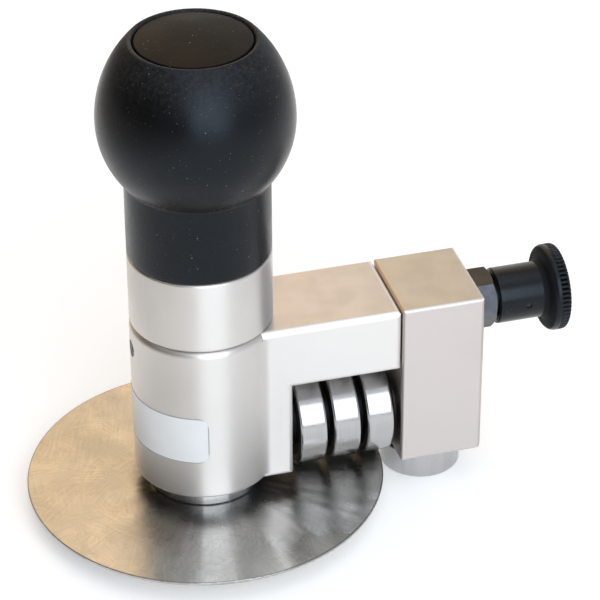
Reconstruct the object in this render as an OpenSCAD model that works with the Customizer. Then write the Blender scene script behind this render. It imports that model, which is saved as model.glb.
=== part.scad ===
// Hand edge bender for sheet metal, in millimetres.
// The origin is the centre of the guide disc's underside.
// +Z is up, and +X runs along the arm from the column to the end block.

/* [Guide disc] */
// Thickness of the guide disc
disc_t = 1; // [0.8:0.1:1.6]
// Radius of the guide disc's rim
disc_rim_r = 0.3; // [0.1:0.05:0.35]
// Working gap between the disc's rim and the edge roller
rim_gap = 1.8; // [1:0.1:3]
// Height of the throat between the disc and the body
throat_h = 5.1; // [4.8:0.1:8]
// Diameter of the hub that stops the sheet's edge
hub_d = 32; // [30:0.5:38]
// Bevel at the hub's foot
hub_bevel = 0.4; // [0.2:0.1:0.6]
// Diameter of the spindle
spindle_d = 12; // [10:0.5:13]
// Wall of the spindle bushes
spindle_bush_wall = 2; // [1.5:0.1:2.5]
// Length of each spindle bush
spindle_bush_l = 10; // [8:0.5:11]
// Diameter of the lower bush's flange
spindle_flange_d = 26; // [22:0.5:28]
// Thickness of the lower bush's flange
spindle_flange_t = 0.8; // [0.6:0.1:1.2]
// Number of disc screws
disc_screw_count = 4; // [3:1:6]
// Thread diameter of the disc screws
disc_screw_d = 3; // [2.5:0.5:3.5]
// Pitch circle of the disc screws
disc_screw_pcd = 22; // [18:0.5:24]

/* [Body] */
// Diameter of the column
body_d = 40; // [36:0.5:46]
// Distance from the spindle axis to the leg's outer face
leg_reach = 22.3; // [21:0.1:26]
// Width of the arm and the leg
arm_w = 29.1; // [26:0.1:32]
// Height of the arm
arm_h = 19.2; // [17:0.1:24]
// Radius of the top edges
edge_r = 1.8; // [1:0.1:2.2]
// Radius of the other edges
corner_r = 1.4; // [0.5:0.1:1.8]
// Radius of the leg's lower end corners, seen from its side
leg_foot_r = 2; // [1:0.1:4]
// Radius of the hollow blend between the column and the arm
blend_r = 5; // [2:0.5:8]

/* [Rollers] */
// Outer diameter of a roller bearing
bearing_od = 28; // [26:0.5:30]
// Bore of a roller bearing
bearing_id = 12; // [11:0.5:12.5]
// Width of a roller bearing
bearing_w = 8; // [7.5:0.1:9]
// Diameter of the bearing balls
ball_d = 4.6; // [4.2:0.1:4.8]
// Number of balls in each bearing
ball_count = 8; // [6:1:9]
// Gap for the sheet between the disc and the rollers
sheet_gap = 0.95; // [0.5:0.05:1.5]
// Length of the spacer between the leg and the first roller
first_spacer_l = 2.3; // [1.5:0.1:4]
// Length of the spacers between the rollers
roller_spacer_l = 1.8; // [1:0.1:3]
// Length of the spacer after the last roller
last_spacer_l = 1.3; // [1:0.1:3]
// Wall of the spacers
spacer_wall = 2; // [1.2:0.1:2.4]
// Clear height of the window above the rollers
window_clear = 5.65; // [3:0.05:9]
// Depth of the axle's seat in the leg
axle_seat_l = 12.3; // [9:0.1:12.6]

/* [End block] */
// Gap between the arm's end and the block
block_gap = 0.3; // [0.25:0.05:2]
// Length of the block along the arm
block_l = 24; // [22:0.1:28]
// Width of the block
block_w = 28.7; // [26:0.1:32]
// Radius of the block's edges
block_r = 1; // [0.5:0.1:1.8]
// Radius of the block's lower end corners, seen from its side
block_foot_r = 2.2; // [1:0.1:4]
// Height of the block's underside above the disc
block_clear = 2.57; // [2:0.01:4]
// Height of the block's top above the arm's top
block_rise = 0.05; // [-1:0.05:2]
// Diameter of the axle's journal in the block
journal_d = 10; // [9:0.5:10]
// Wall of the block's bush
block_bush_wall = 1; // [0.8:0.1:1.2]
// Diameter of the bush's flange
block_flange_d = 18; // [15:0.5:20]
// Thickness of the bush's flange
block_flange_t = 1.5; // [1:0.1:2]
// Diameter of the recess for the axle's end screw
end_recess_d = 20; // [18:0.5:22]
// Depth of the recess for the axle's end screw
end_recess_l = 4.5; // [4.4:0.1:6]
// Thickness of the axle's end washer
end_washer_t = 1.5; // [1:0.1:1.6]
// Thread diameter of the axle's end screw
end_screw_d = 6; // [5:0.5:6]

/* [Edge roller] */
// Diameter of the edge roller
edge_roller_d = 23.2; // [20:0.2:26]
// Distance from the block's inner face to the edge roller's axis
edge_roller_inset = 10.3; // [9:0.1:12]
// Depth of the edge roller below the disc's underside
edge_roller_drop = 5.67; // [4:0.01:8]
// Diameter of the shoulder that the edge roller turns on
shoulder_d = 8; // [7.5:0.5:9]
// Wall of the edge roller's bush
edge_bush_wall = 1; // [0.8:0.1:1.5]
// Diameter of the shoulder screw's head
shoulder_head_d = 12; // [11.5:0.5:13]
// Height of the shoulder screw's head
shoulder_head_h = 3.2; // [2.5:0.1:3.4]
// Depth of the edge roller's recess for that head
head_recess_h = 4; // [3.6:0.1:4.4]
// Thread diameter of the shoulder screw
shoulder_thread_d = 6; // [5:0.5:6.5]
// Thickness of the washer between the edge roller and the block
edge_washer_t = 0.6; // [0.4:0.1:1]
// Diameter of that washer
edge_washer_d = 15; // [13:0.5:18]

/* [Index plunger] */
// Distance of the plunger's axis below the arm's top
plunger_drop = 9.2; // [8:0.1:10]
// Diameter of the plunger's pin
pin_d = 6; // [5:0.5:6.5]
// Diameter of the plunger's rod
rod_d = 4; // [3.5:0.1:4.2]
// Thread diameter of the plunger's guide
guide_d = 12; // [11.5:0.5:13]
// Bore of the guide for the spring
spring_bore_d = 9; // [8.6:0.1:9.4]
// Width of the guide's hexagon across its flats
hex_af = 15; // [13.5:0.5:16]
// Turn of the hexagon about the plunger's axis
hex_turn = 4; // [0:1:30]
// Length of the guide's hexagon
hex_l = 6.2; // [5:0.1:8]
// Length of the guide's stem beyond the hexagon
stem_l = 5.9; // [5:0.1:7]
// Gap between the hexagon and the knob at rest
knob_gap = 0.9; // [0.5:0.1:2]
// Diameter of the knob's sleeve
sleeve_d = 16; // [15.5:0.1:18]
// Length of the knob's sleeve
sleeve_l = 13.1; // [11:0.1:15]
// Diameter of the knob's flange
knob_d = 24.8; // [22:0.1:28]
// Length of the knob's flange with its blend
flange_l = 6.7; // [6.5:0.1:9]
// Wire of the plunger's spring
spring_wire_d = 0.8; // [0.6:0.1:0.9]
// Number of turns of the plunger's spring
spring_turns = 9; // [6:1:11]
// Outer diameter of the index bush in the arm
index_bush_od = 10; // [9.5:0.5:11]
// Length of the index bush
index_bush_l = 12; // [10:0.5:15]

/* [Grip] */
// Thickness of the washer under the collar
grip_washer_t = 0.35; // [0.35:0.05:1.2]
// Distance from the column's side to that washer's rim
grip_washer_inset = 2.5; // [2.2:0.1:4]
// Step from the column's side in to the collar's side
collar_step = 0.1; // [0:0.05:1]
// Height of the collar
collar_h = 21.45; // [16:0.05:26]
// Radius of the collar's lower edge
collar_low_r = 1; // [0.5:0.1:1.5]
// Radius of the collar's upper edge
collar_top_r = 0.7; // [0.3:0.1:1.2]
// Diameter of the collar's core inside the grip
core_d = 26; // [25:0.5:28]
// Step from the collar's side in to the grip's neck
neck_step = 0.05; // [0:0.05:1]
// Radius of the neck's lower edge
neck_r = 0.9; // [0.3:0.1:1.5]
// Radius of the grip's ball
ball_r = 26.7; // [25:0.1:30]
// Height of the ball's centre above the collar
ball_rise = 40.6; // [36:0.1:46]
// Radius of the rim round the cap
rim_r = 16.4; // [15.5:0.1:18]
// Height of that rim above the ball's centre
rim_rise = 23.05; // [22:0.05:25]
// Width of the groove round the cap
cap_groove = 0.6; // [0.4:0.1:1]
// Rise of the cap's dome
cap_dome = 0.9; // [0.5:0.1:2]
// Diameter of the post that the grip turns on
post_d = 14; // [13:0.5:15]
// Thread diameter of the post in the column
post_thread_d = 12; // [10:0.5:12.5]
// Depth of the post's thread in the column
post_thread_l = 20; // [16:0.5:20]
// Wall of the swivel bushes
swivel_bush_wall = 2; // [1.5:0.1:2.5]
// Length of each swivel bush
swivel_bush_l = 14; // [10:0.5:18]
// Thread diameter of the post's upper end
post_end_d = 10; // [8:0.5:10]
// Thickness of the post's washer
post_washer_t = 2; // [1.5:0.1:3]
// Width of the post's nut across its flats
post_nut_af = 16; // [15:0.5:18]
// Height of the post's nut
post_nut_h = 8; // [6:0.5:9]

/* [Fits] */
// Running clearance on a radius
run_fit = 0.05; // [0.02:0.01:0.08]
// Clearance of pressed and threaded pieces on a radius
seat_fit = 0.01; // [0.01:0.005:0.02]
// End play between faces that turn against each other
end_play = 0.1; // [0.05:0.05:0.2]
// Thread diameter of the set screws
set_screw_d = 5; // [4:0.5:5.5]

/* [Hidden] */
$fn = 96;
margin = 1;
hex_fn = 6;
dome_fn = 720;
fine_r = 0.5;
blend_bevel_extra = 0.2;
tip_clear = 0.3;
overlap = 0.5;
cap_head_ratio = 1.7;
cap_socket_ratio = 0.65;
socket_floor_ratio = 0.4;

// Heights, from the disc upwards
body_z0 = disc_t + throat_h;
axle_z = disc_t + sheet_gap + bearing_od / 2;
arm_z0 = axle_z + bearing_od / 2 + window_clear;
arm_z1 = arm_z0 + arm_h;
block_z0 = disc_t + block_clear;
block_z1 = arm_z1 + block_rise;
plunger_z = arm_z1 - plunger_drop;
collar_z0 = arm_z1 + grip_washer_t;
collar_z1 = collar_z0 + collar_h;
ball_z = collar_z1 + ball_rise;
rim_z = ball_z + rim_rise;

// Places along the arm, from the column outwards
roller_pitch = bearing_w + roller_spacer_l;
roller_x0 = leg_reach + first_spacer_l;
function roller_x(i) = roller_x0 + i * roller_pitch;
rollers_end = roller_x(2) + bearing_w;
axle_shoulder_x = rollers_end + last_spacer_l;
block_flange_x = axle_shoulder_x + end_play;
flange_proud = 0.3;
block_x0 = block_flange_x + flange_proud;
block_x1 = block_x0 + block_l;
arm_x1 = block_x0 - block_gap;
edge_x = block_x0 + edge_roller_inset;
disc_d = 2 * (edge_x - edge_roller_d / 2 - rim_gap);

// Spindle and its bushes
spindle_bush_od = spindle_d + 2 * spindle_bush_wall;
dog_d = 3;
dog_side_clear = 0.2;
dog_groove_w = dog_d + 2 * dog_side_clear;
dog_groove_depth = 1.5;
dog_tip_clear = 0.3;
dog_bush_clear = 0.25;
dog_thread_clear = 0.5;
bush_spacing = dog_groove_w + 2 * dog_bush_clear;
upper_bush_z = body_z0 + spindle_bush_l + bush_spacing;
dog_z = body_z0 + spindle_bush_l + bush_spacing / 2;
spindle_tip_l = 1;
spindle_z1 = upper_bush_z + spindle_bush_l + spindle_tip_l;
spindle_bore_z1 = spindle_z1 + tip_clear;
hub_z1 = body_z0 - spindle_flange_t - end_play;

// Countersunk disc screws
screw_recess = 0.1;
disc_screw_angle = 45;
head_rim_flat = 0.1;
disc_screw_head_r = disc_screw_d - head_rim_flat;
disc_screw_cone = disc_screw_head_r - disc_screw_d / 2;
hub_top_wall = 0.8;
disc_screw_tip = hub_z1 - hub_top_wall;
disc_socket_ratio = 0.75;
disc_socket_depth = 1.1;

// Set screws stand a little below the surface that they enter
set_screw_sink = 0.5;
set_screw_socket_ratio = 0.5;
set_screw_socket = set_screw_d * set_screw_socket_ratio;
set_screw_socket_depth = 2;
axle_screw_inset = 4.8;
axle_screw_x = leg_reach - axle_screw_inset;
post_screw_drop = 7.5;
post_screw_z = arm_z1 - post_screw_drop;

// Axle and its end fittings
axle_x0 = leg_reach - axle_seat_l;
end_recess_x = block_x1 - end_recess_l;
journal_x1 = end_recess_x + end_play;
block_bush_od = journal_d + 2 * (run_fit + block_bush_wall);
end_washer_clear = 1;
end_washer_d = end_recess_d - 2 * end_washer_clear;
end_head_d = end_screw_d * cap_head_ratio;
end_head_sink = 0.3;
end_head_h = end_recess_l - end_play - end_washer_t - end_head_sink;
end_screw_l = 14;
flange_side_clear = 0.2;

// Bearing sections
bearing_r = bearing_od / 2;
pitch_r = (bearing_od + bearing_id) / 4;
race_clear = 0.12;
race_r = ball_d / 2 + race_clear;
race_lip_ratio = 0.33;
inner_ring_r = pitch_r - ball_d * race_lip_ratio;
outer_ring_r = pitch_r + ball_d * race_lip_ratio;
bearing_corner = 0.9;
cage_side = 0.6;
cage_w = ball_d + 2 * cage_side;
cage_t = 1.6;
pocket_clear = 0.1;
pocket_r = ball_d / 2 + pocket_clear;
seal_t = 0.6;
seal_sink = 0.15;
seal_lip = 0.3;

// Edge roller
edge_z0 = -edge_roller_drop;
edge_z1 = block_z0 - edge_washer_t - end_play;
edge_bush_od = shoulder_d + 2 * (run_fit + edge_bush_wall);
edge_recess_z = edge_z0 + head_recess_h;
head_side_clear = 0.5;
edge_recess_d = shoulder_head_d + 2 * head_side_clear;
shoulder_tip_wall = 1;
shoulder_tip_z = axle_z - block_bush_od / 2 - shoulder_tip_wall;

// Index plunger
guide_wall = 3;
guide_stop_l = 3;
hex_chamfer = 30;
guide_x0 = block_x0 + guide_wall;
guide_stop_x = guide_x0 + guide_stop_l;
hex_x1 = block_x1 + hex_l;
stem_x1 = hex_x1 + stem_l;
spring_seat_l = 3;
spring_seat_x = stem_x1 - spring_seat_l;
pin_nose_clear = 0.35;
pin_x0 = arm_x1 + pin_nose_clear;
pin_collar_x = guide_stop_x + end_play;
pin_collar_l = 2;
pin_collar_clear = 0.2;
pin_collar_d = spring_bore_d - 2 * pin_collar_clear;
knob_x0 = hex_x1 + knob_gap;
flange_x = knob_x0 + sleeve_l;
knob_x1 = flange_x + flange_l;
cavity_end_clear = 0.6;
cavity_side_clear = 0.35;
knob_cavity_x = stem_x1 + cavity_end_clear;
knob_cavity_d = guide_d + 2 * cavity_side_clear;
knob_blend_r = 1.5;
knob_end_wall = 3;
rod_x1 = knob_x1 - knob_end_wall;
cross_pin_d = 1.6;
cross_pin_inset = 2.8;
cross_pin_sink = 0.4;
cross_pin_x = knob_cavity_x + cross_pin_inset;
spring_end_gap = 0.05;
spring_side_clear = 0.3;
spring_x0 = pin_collar_x + pin_collar_l + spring_end_gap;
spring_x1 = spring_seat_x - spring_end_gap;
spring_r = (spring_bore_d - spring_wire_d) / 2 - spring_side_clear;
index_clear = 0.05;

// Grip
grip_washer_d = body_d - 2 * grip_washer_inset;
washer_bore_clear = 1;
collar_d = body_d - 2 * collar_step;
neck_d = collar_d - 2 * neck_step;
core_over_ball = 0.8;
core_z1 = ball_z + core_over_ball;
swivel_bush_od = post_d + 2 * (run_fit + swivel_bush_wall);
post_shoulder_z = core_z1 + end_play;
post_washer_inset = 0.5;
post_washer_d = core_d - 2 * post_washer_inset;
post_nut_z = post_shoulder_z + post_washer_t;
post_end_show = 1.5;
post_z1 = post_nut_z + post_nut_h + post_end_show;
nut_room_step = 1;
nut_room_d = core_d + 2 * nut_room_step;
cap_plug_depth = 6;
nut_room_z1 = rim_z - cap_plug_depth;
cap_r = rim_r - cap_groove;
cap_t = 2.5;
cap_plug_wall = 1.6;
cap_sink = 0.25;
cap_seat_lip = 0.1;
cap_hollow_ratio = 0.5;
cap_hollow_depth = 0.5;
crown_r = (pow(ball_r - rim_r, 2) + pow(rim_rise, 2)) / (2 * (ball_r - rim_r));
dome_r = (pow(cap_r, 2) + pow(cap_dome, 2)) / (2 * cap_dome);

// Ring with its axis on Z
module ring(od, id, h) {
    difference() {
        cylinder(d = od, h = h);
        translate([0, 0, -margin]) cylinder(d = id, h = h + 2 * margin);
    }
}

// Turns a shape made on Z so that it runs along +X from x on the line at height z
module on_x(x, z) {
    translate([x, 0, z]) rotate([0, 90, 0]) children();
}

// Turns a shape made on Z so that it runs along -X from x on the line at height z
module on_minus_x(x, z) {
    translate([x, 0, z]) rotate([0, -90, 0]) children();
}

// Turns a shape made on Z so that it runs along +Y from y
module on_y(x, y, z) {
    translate([x, y, z]) rotate([-90, 0, 0]) children();
}

// Flat rectangle with round corners, from the corner low to the corner high
// Its lower corner at the high X end has the radius r_foot, where that is given
module round_rect(low, high, r_low, r_high, r_foot) {
    size = high - low;
    foot = is_undef(r_foot) ? r_low : r_foot;
    translate(low + [0, r_low]) square([size[0] / 2, size[1] - r_low - r_high]);
    translate(low + [size[0] / 2, foot]) square([size[0] / 2, size[1] - foot - r_high]);
    translate(low + [r_low, 0]) square([size[0] - r_low - foot, size[1] / 2]);
    translate(low + [r_high, size[1] / 2]) square([size[0] - 2 * r_high, size[1] / 2]);
    translate(low + [r_low, r_low]) circle(r = r_low);
    translate([high[0] - foot, low[1] + foot]) circle(r = foot);
    for (x = [low[0] + r_high, high[0] - r_high])
        translate([x, high[1] - r_high]) circle(r = r_high);
}

// Half section of a round piece with rounded rims, to be turned about its axis
module rim_section(r_in, r_out, h, r_low, r_high) {
    width = r_out - r_in;
    translate([r_in, r_low]) square([width, h - r_low - r_high]);
    translate([r_in, 0]) square([width - r_low, h / 2]);
    translate([r_in, h / 2]) square([width - r_high, h / 2]);
    translate([r_out - r_low, r_low]) circle(r = r_low);
    translate([r_out - r_high, h - r_high]) circle(r = r_high);
}

// Block with all its edges rounded, from the corner low to the corner high
// Seen from its side, its lower corner at the high X end has the radius r_foot, where that is given
module round_block(low, high, r_low, r_high, r_foot) {
    size = high - low;
    intersection() {
        translate([low[0], 0, 0])
            rotate([90, 0, 90])
                linear_extrude(size[0]) round_rect([low[1], low[2]], [high[1], high[2]], r_low, r_high);
        translate([0, high[1], 0])
            rotate([90, 0, 0])
                linear_extrude(size[1])
                    round_rect([low[0], low[2]], [high[0], high[2]], r_low, r_high, r_foot);
        translate([0, 0, low[2]])
            linear_extrude(size[2]) round_rect([low[0], low[1]], [high[0], high[1]], r_low, r_low);
    }
}

// Set screw with a hexagon socket in its outer end, from z = 0 up to its length
module set_screw(d, l) {
    difference() {
        cylinder(d = d, h = l);
        translate([0, 0, l - set_screw_socket_depth])
            cylinder(d = set_screw_socket / cos(30), h = set_screw_socket_depth + margin, $fn = hex_fn);
    }
}

// Hollow blend between the column and the arm's side, bevelled at its top and foot
module blend() {
    centre_y = arm_w / 2 + blend_r;
    centre_x = sqrt(pow(body_d / 2 + blend_r, 2) - pow(centre_y, 2));
    depth = 2 * edge_r;
    inner = (body_d / 2 - depth) / (body_d / 2 + blend_r);
    bevel = edge_r + blend_bevel_extra;
    foot_bevel = corner_r + blend_bevel_extra;
    difference() {
        translate([0, 0, body_z0])
            linear_extrude(arm_z1 - body_z0)
                difference() {
                    polygon([
                        [centre_x, centre_y],
                        [centre_x * inner, centre_y * inner],
                        [centre_x, arm_w / 2 - depth]
                    ]);
                    translate([centre_x, centre_y]) circle(r = blend_r);
                }
        translate([centre_x, centre_y, arm_z1 - bevel])
            cylinder(r1 = blend_r, r2 = blend_r + bevel + margin, h = bevel + margin);
        translate([centre_x, centre_y, body_z0 - margin])
            cylinder(r1 = blend_r + foot_bevel + margin, r2 = blend_r, h = foot_bevel + margin);
    }
}

// Guide disc with countersunk holes
module base_disc() {
    color("lightgray")
        difference() {
            rotate_extrude() rim_section(0, disc_d / 2, disc_t, disc_rim_r, disc_rim_r);
            disc_screw_places() disc_screw_hole();
        }
}

module disc_screw_places() {
    for (i = [0 : disc_screw_count - 1])
        rotate(disc_screw_angle + i * 360 / disc_screw_count)
            translate([disc_screw_pcd / 2, 0, 0]) children();
}

module disc_screw_hole() {
    translate([0, 0, -margin])
        cylinder(d = disc_screw_d + 2 * seat_fit, h = margin + disc_screw_tip + tip_clear);
    translate([0, 0, -margin])
        cylinder(r = disc_screw_head_r + seat_fit, h = margin + screw_recess);
    translate([0, 0, screw_recess])
        cylinder(r1 = disc_screw_head_r + seat_fit, r2 = disc_screw_d / 2 + seat_fit, h = disc_screw_cone);
}

// Countersunk screws that hold the disc to the hub
module disc_screws() {
    color("gray")
        disc_screw_places()
            difference() {
                union() {
                    translate([0, 0, screw_recess])
                        cylinder(r1 = disc_screw_head_r, r2 = disc_screw_d / 2, h = disc_screw_cone);
                    translate([0, 0, screw_recess + disc_screw_cone])
                        cylinder(d = disc_screw_d, h = disc_screw_tip - screw_recess - disc_screw_cone);
                }
                translate([0, 0, -margin])
                    cylinder(
                        d = disc_screw_d * disc_socket_ratio,
                        h = margin + screw_recess + disc_socket_depth,
                        $fn = hex_fn
                    );
            }
}

// Spindle with the hub, and a groove for the dog screw
module spindle() {
    color("silver")
        difference() {
            union() {
                translate([0, 0, disc_t])
                    cylinder(r1 = hub_d / 2 - hub_bevel, r2 = hub_d / 2, h = hub_bevel);
                translate([0, 0, disc_t + hub_bevel]) cylinder(d = hub_d, h = hub_z1 - disc_t - hub_bevel);
                translate([0, 0, disc_t]) cylinder(d = spindle_d, h = spindle_z1 - disc_t);
            }
            translate([0, 0, dog_z - dog_groove_w / 2])
                ring(spindle_d + margin, spindle_d - 2 * dog_groove_depth, dog_groove_w);
            disc_screw_places() disc_screw_hole();
        }
}

module spindle_bush_lower() {
    color("peru")
        difference() {
            union() {
                translate([0, 0, body_z0 - spindle_flange_t])
                    cylinder(d = spindle_flange_d, h = spindle_flange_t);
                translate([0, 0, body_z0 - spindle_flange_t])
                    cylinder(d = spindle_bush_od - 2 * seat_fit, h = spindle_bush_l + spindle_flange_t);
            }
            translate([0, 0, body_z0 - spindle_flange_t - margin])
                cylinder(d = spindle_d + 2 * run_fit, h = spindle_bush_l + spindle_flange_t + 2 * margin);
        }
}

module spindle_bush_upper() {
    color("peru")
        translate([0, 0, upper_bush_z])
            ring(spindle_bush_od - 2 * seat_fit, spindle_d + 2 * run_fit, spindle_bush_l);
}

// Screw whose dog point keeps the spindle in the column
module spindle_dog_screw() {
    dog_tip = spindle_d / 2 - dog_groove_depth + dog_tip_clear;
    thread_y = spindle_bush_od / 2 + dog_thread_clear;
    color("dimgray") {
        on_y(0, thread_y, dog_z) set_screw(set_screw_d, body_d / 2 - set_screw_sink - thread_y);
        on_y(0, dog_tip, dog_z) cylinder(d = dog_d, h = thread_y - dog_tip + overlap);
    }
}

// Column, leg and arm in one machined piece
module main_body() {
    color("gainsboro")
        difference() {
            union() {
                translate([0, 0, body_z0])
                    rotate_extrude() rim_section(0, body_d / 2, arm_z1 - body_z0, corner_r, edge_r);
                round_block(
                    [-edge_r, -arm_w / 2, body_z0],
                    [leg_reach, arm_w / 2, arm_z0 + arm_h / 2],
                    corner_r,
                    corner_r,
                    leg_foot_r
                );
                round_block([-edge_r, -arm_w / 2, arm_z0], [arm_x1, arm_w / 2, arm_z1], corner_r, edge_r);
                for (side = [0, 1])
                    mirror([0, side, 0]) blend();
            }
            translate([0, 0, body_z0 - margin])
                cylinder(d = spindle_bush_od, h = spindle_bore_z1 - body_z0 + margin);
            translate([0, 0, arm_z1 - post_thread_l])
                cylinder(d = post_thread_d, h = post_thread_l + margin);
            on_x(axle_x0, axle_z) cylinder(d = bearing_id, h = axle_seat_l + margin);
            on_x(arm_x1 - index_bush_l, plunger_z) cylinder(d = index_bush_od, h = index_bush_l + margin);
            on_y(0, 0, dog_z) cylinder(d = set_screw_d + 2 * seat_fit, h = body_d);
            on_minus_x(0, post_screw_z) cylinder(d = set_screw_d + 2 * seat_fit, h = body_d);
            on_y(axle_screw_x, 0, axle_z) cylinder(d = set_screw_d + 2 * seat_fit, h = body_d);
        }
}

// Axle of the rollers, with a thinner journal for the end block
module roller_axle() {
    color("silver")
        difference() {
            union() {
                on_x(axle_x0, axle_z)
                    cylinder(d = bearing_id - 2 * seat_fit, h = axle_shoulder_x - axle_x0);
                on_x(axle_shoulder_x - margin, axle_z)
                    cylinder(d = journal_d, h = journal_x1 - axle_shoulder_x + margin);
            }
            on_x(journal_x1 - end_screw_l - tip_clear, axle_z)
                cylinder(d = end_screw_d, h = end_screw_l + tip_clear + margin);
        }
}

module axle_set_screw() {
    tip = bearing_id / 2 + seat_fit;
    color("dimgray")
        on_y(axle_screw_x, tip, axle_z)
            set_screw(set_screw_d, arm_w / 2 - set_screw_sink - tip);
}

// Spacers before, between and after the rollers
module axle_spacers() {
    od = bearing_id + 2 * spacer_wall;
    places = [
        [leg_reach, first_spacer_l],
        [roller_x(0) + bearing_w, roller_spacer_l],
        [roller_x(1) + bearing_w, roller_spacer_l],
        [rollers_end, last_spacer_l]
    ];
    color("gray")
        for (place = places)
            on_x(place[0], axle_z) ring(od, bearing_id, place[1]);
}

module axle_end_washer() {
    color("silver")
        on_x(journal_x1, axle_z) ring(end_washer_d, end_screw_d, end_washer_t);
}

module axle_end_screw() {
    head_x = journal_x1 + end_washer_t;
    color("dimgray")
        difference() {
            union() {
                on_x(head_x, axle_z) cylinder(d = end_head_d, h = end_head_h);
                on_x(journal_x1 - end_screw_l, axle_z)
                    cylinder(d = end_screw_d - 2 * seat_fit, h = end_screw_l + end_washer_t + overlap);
            }
            on_x(head_x + end_head_h * socket_floor_ratio, axle_z)
                cylinder(d = end_screw_d * cap_socket_ratio / cos(30), h = end_head_h, $fn = hex_fn);
        }
}

// Groove that the balls run in
module ball_race() {
    rotate_extrude()
        translate([pitch_r, bearing_w / 2]) circle(r = race_r);
}

module inner_ring(i) {
    color("lightgray")
        on_x(roller_x(i), axle_z)
            difference() {
                ring(2 * inner_ring_r, bearing_id, bearing_w);
                ball_race();
            }
}

// Outer ring with rounded corners on the rolling face
module outer_ring(i) {
    color("whitesmoke")
        on_x(roller_x(i), axle_z)
            difference() {
                rotate_extrude()
                    rim_section(outer_ring_r, bearing_r, bearing_w, bearing_corner, bearing_corner);
                ball_race();
            }
}

module seals(i) {
    color("black")
        on_x(roller_x(i), axle_z)
            for (z = [seal_sink, bearing_w - seal_sink - seal_t])
                translate([0, 0, z])
                    ring(2 * (outer_ring_r - seat_fit), 2 * (inner_ring_r + seal_lip), seal_t);
}

module ball_places(i) {
    on_x(roller_x(i) + bearing_w / 2, axle_z)
        for (k = [0 : ball_count - 1])
            rotate(k * 360 / ball_count) translate([pitch_r, 0, 0]) children();
}

module balls(i) {
    color("silver")
        ball_places(i) sphere(d = ball_d);
}

// Cage with a drilled pocket for each ball
module cage(i) {
    color("saddlebrown")
        difference() {
            on_x(roller_x(i) + (bearing_w - cage_w) / 2, axle_z)
                ring(2 * pitch_r + cage_t, 2 * pitch_r - cage_t, cage_w);
            ball_places(i)
                rotate([0, 90, 0]) cylinder(r = pocket_r, h = 2 * cage_t, center = true);
        }
}

// Block that swings on the axle and carries the edge roller and the plunger
module end_block() {
    color("gainsboro")
        difference() {
            round_block(
                [block_x0, -block_w / 2, block_z0],
                [block_x1, block_w / 2, block_z1],
                block_r,
                block_r,
                block_foot_r
            );
            on_x(block_x0 - margin, axle_z)
                cylinder(
                    d = block_flange_d + 2 * flange_side_clear,
                    h = margin + block_flange_t - flange_proud
                );
            on_x(block_x0, axle_z) cylinder(d = block_bush_od, h = block_l);
            on_x(end_recess_x, axle_z) cylinder(d = end_recess_d, h = end_recess_l + margin);
            translate([edge_x, 0, block_z0 - margin])
                cylinder(d = shoulder_thread_d, h = shoulder_tip_z + tip_clear - block_z0 + margin);
            on_x(block_x0 - margin, plunger_z)
                cylinder(d = pin_d + 2 * index_clear, h = guide_x0 - block_x0 + 2 * margin);
            on_x(guide_x0, plunger_z) cylinder(d = guide_d, h = block_x1 - guide_x0 + margin);
        }
}

module block_bush() {
    color("peru")
        difference() {
            union() {
                on_x(block_flange_x, axle_z) cylinder(d = block_flange_d, h = block_flange_t);
                on_x(block_flange_x, axle_z)
                    cylinder(d = block_bush_od - 2 * seat_fit, h = end_recess_x - block_flange_x);
            }
            on_x(block_flange_x - margin, axle_z)
                cylinder(d = journal_d + 2 * run_fit, h = end_recess_x - block_flange_x + 2 * margin);
        }
}

// Hardened bush in the arm's end for the plunger's pin
module index_bush() {
    color("gray")
        on_x(arm_x1 - index_bush_l, plunger_z)
            ring(index_bush_od - 2 * seat_fit, pin_d + 2 * index_clear, index_bush_l);
}

module edge_roller() {
    color("silver")
        difference() {
            translate([edge_x, 0, edge_z0])
                rotate_extrude() rim_section(0, edge_roller_d / 2, edge_z1 - edge_z0, fine_r, fine_r);
            translate([edge_x, 0, edge_z0 - margin]) cylinder(d = edge_recess_d, h = head_recess_h + margin);
            translate([edge_x, 0, edge_z0]) cylinder(d = edge_bush_od, h = edge_z1 - edge_z0 + margin);
        }
}

module edge_roller_bush() {
    color("peru")
        translate([edge_x, 0, edge_recess_z])
            ring(edge_bush_od - 2 * seat_fit, shoulder_d + 2 * run_fit, edge_z1 - edge_recess_z);
}

// Shoulder screw that the edge roller turns on
module edge_roller_screw() {
    head_z1 = edge_recess_z - end_play;
    head_z0 = head_z1 - shoulder_head_h;
    color("dimgray")
        translate([edge_x, 0, 0])
            difference() {
                union() {
                    translate([0, 0, head_z0]) cylinder(d = shoulder_head_d, h = shoulder_head_h);
                    translate([0, 0, head_z0]) cylinder(d = shoulder_d, h = block_z0 - head_z0);
                    translate([0, 0, head_z0])
                        cylinder(d = shoulder_thread_d - 2 * seat_fit, h = shoulder_tip_z - head_z0);
                }
                translate([0, 0, head_z0 - margin])
                    cylinder(
                        d = shoulder_thread_d * cap_socket_ratio / cos(30),
                        h = margin + shoulder_head_h * (1 - socket_floor_ratio),
                        $fn = hex_fn
                    );
            }
}

module edge_washer() {
    color("peru")
        translate([edge_x, 0, block_z0 - edge_washer_t])
            ring(edge_washer_d, shoulder_d + 2 * seat_fit, edge_washer_t);
}

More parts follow.
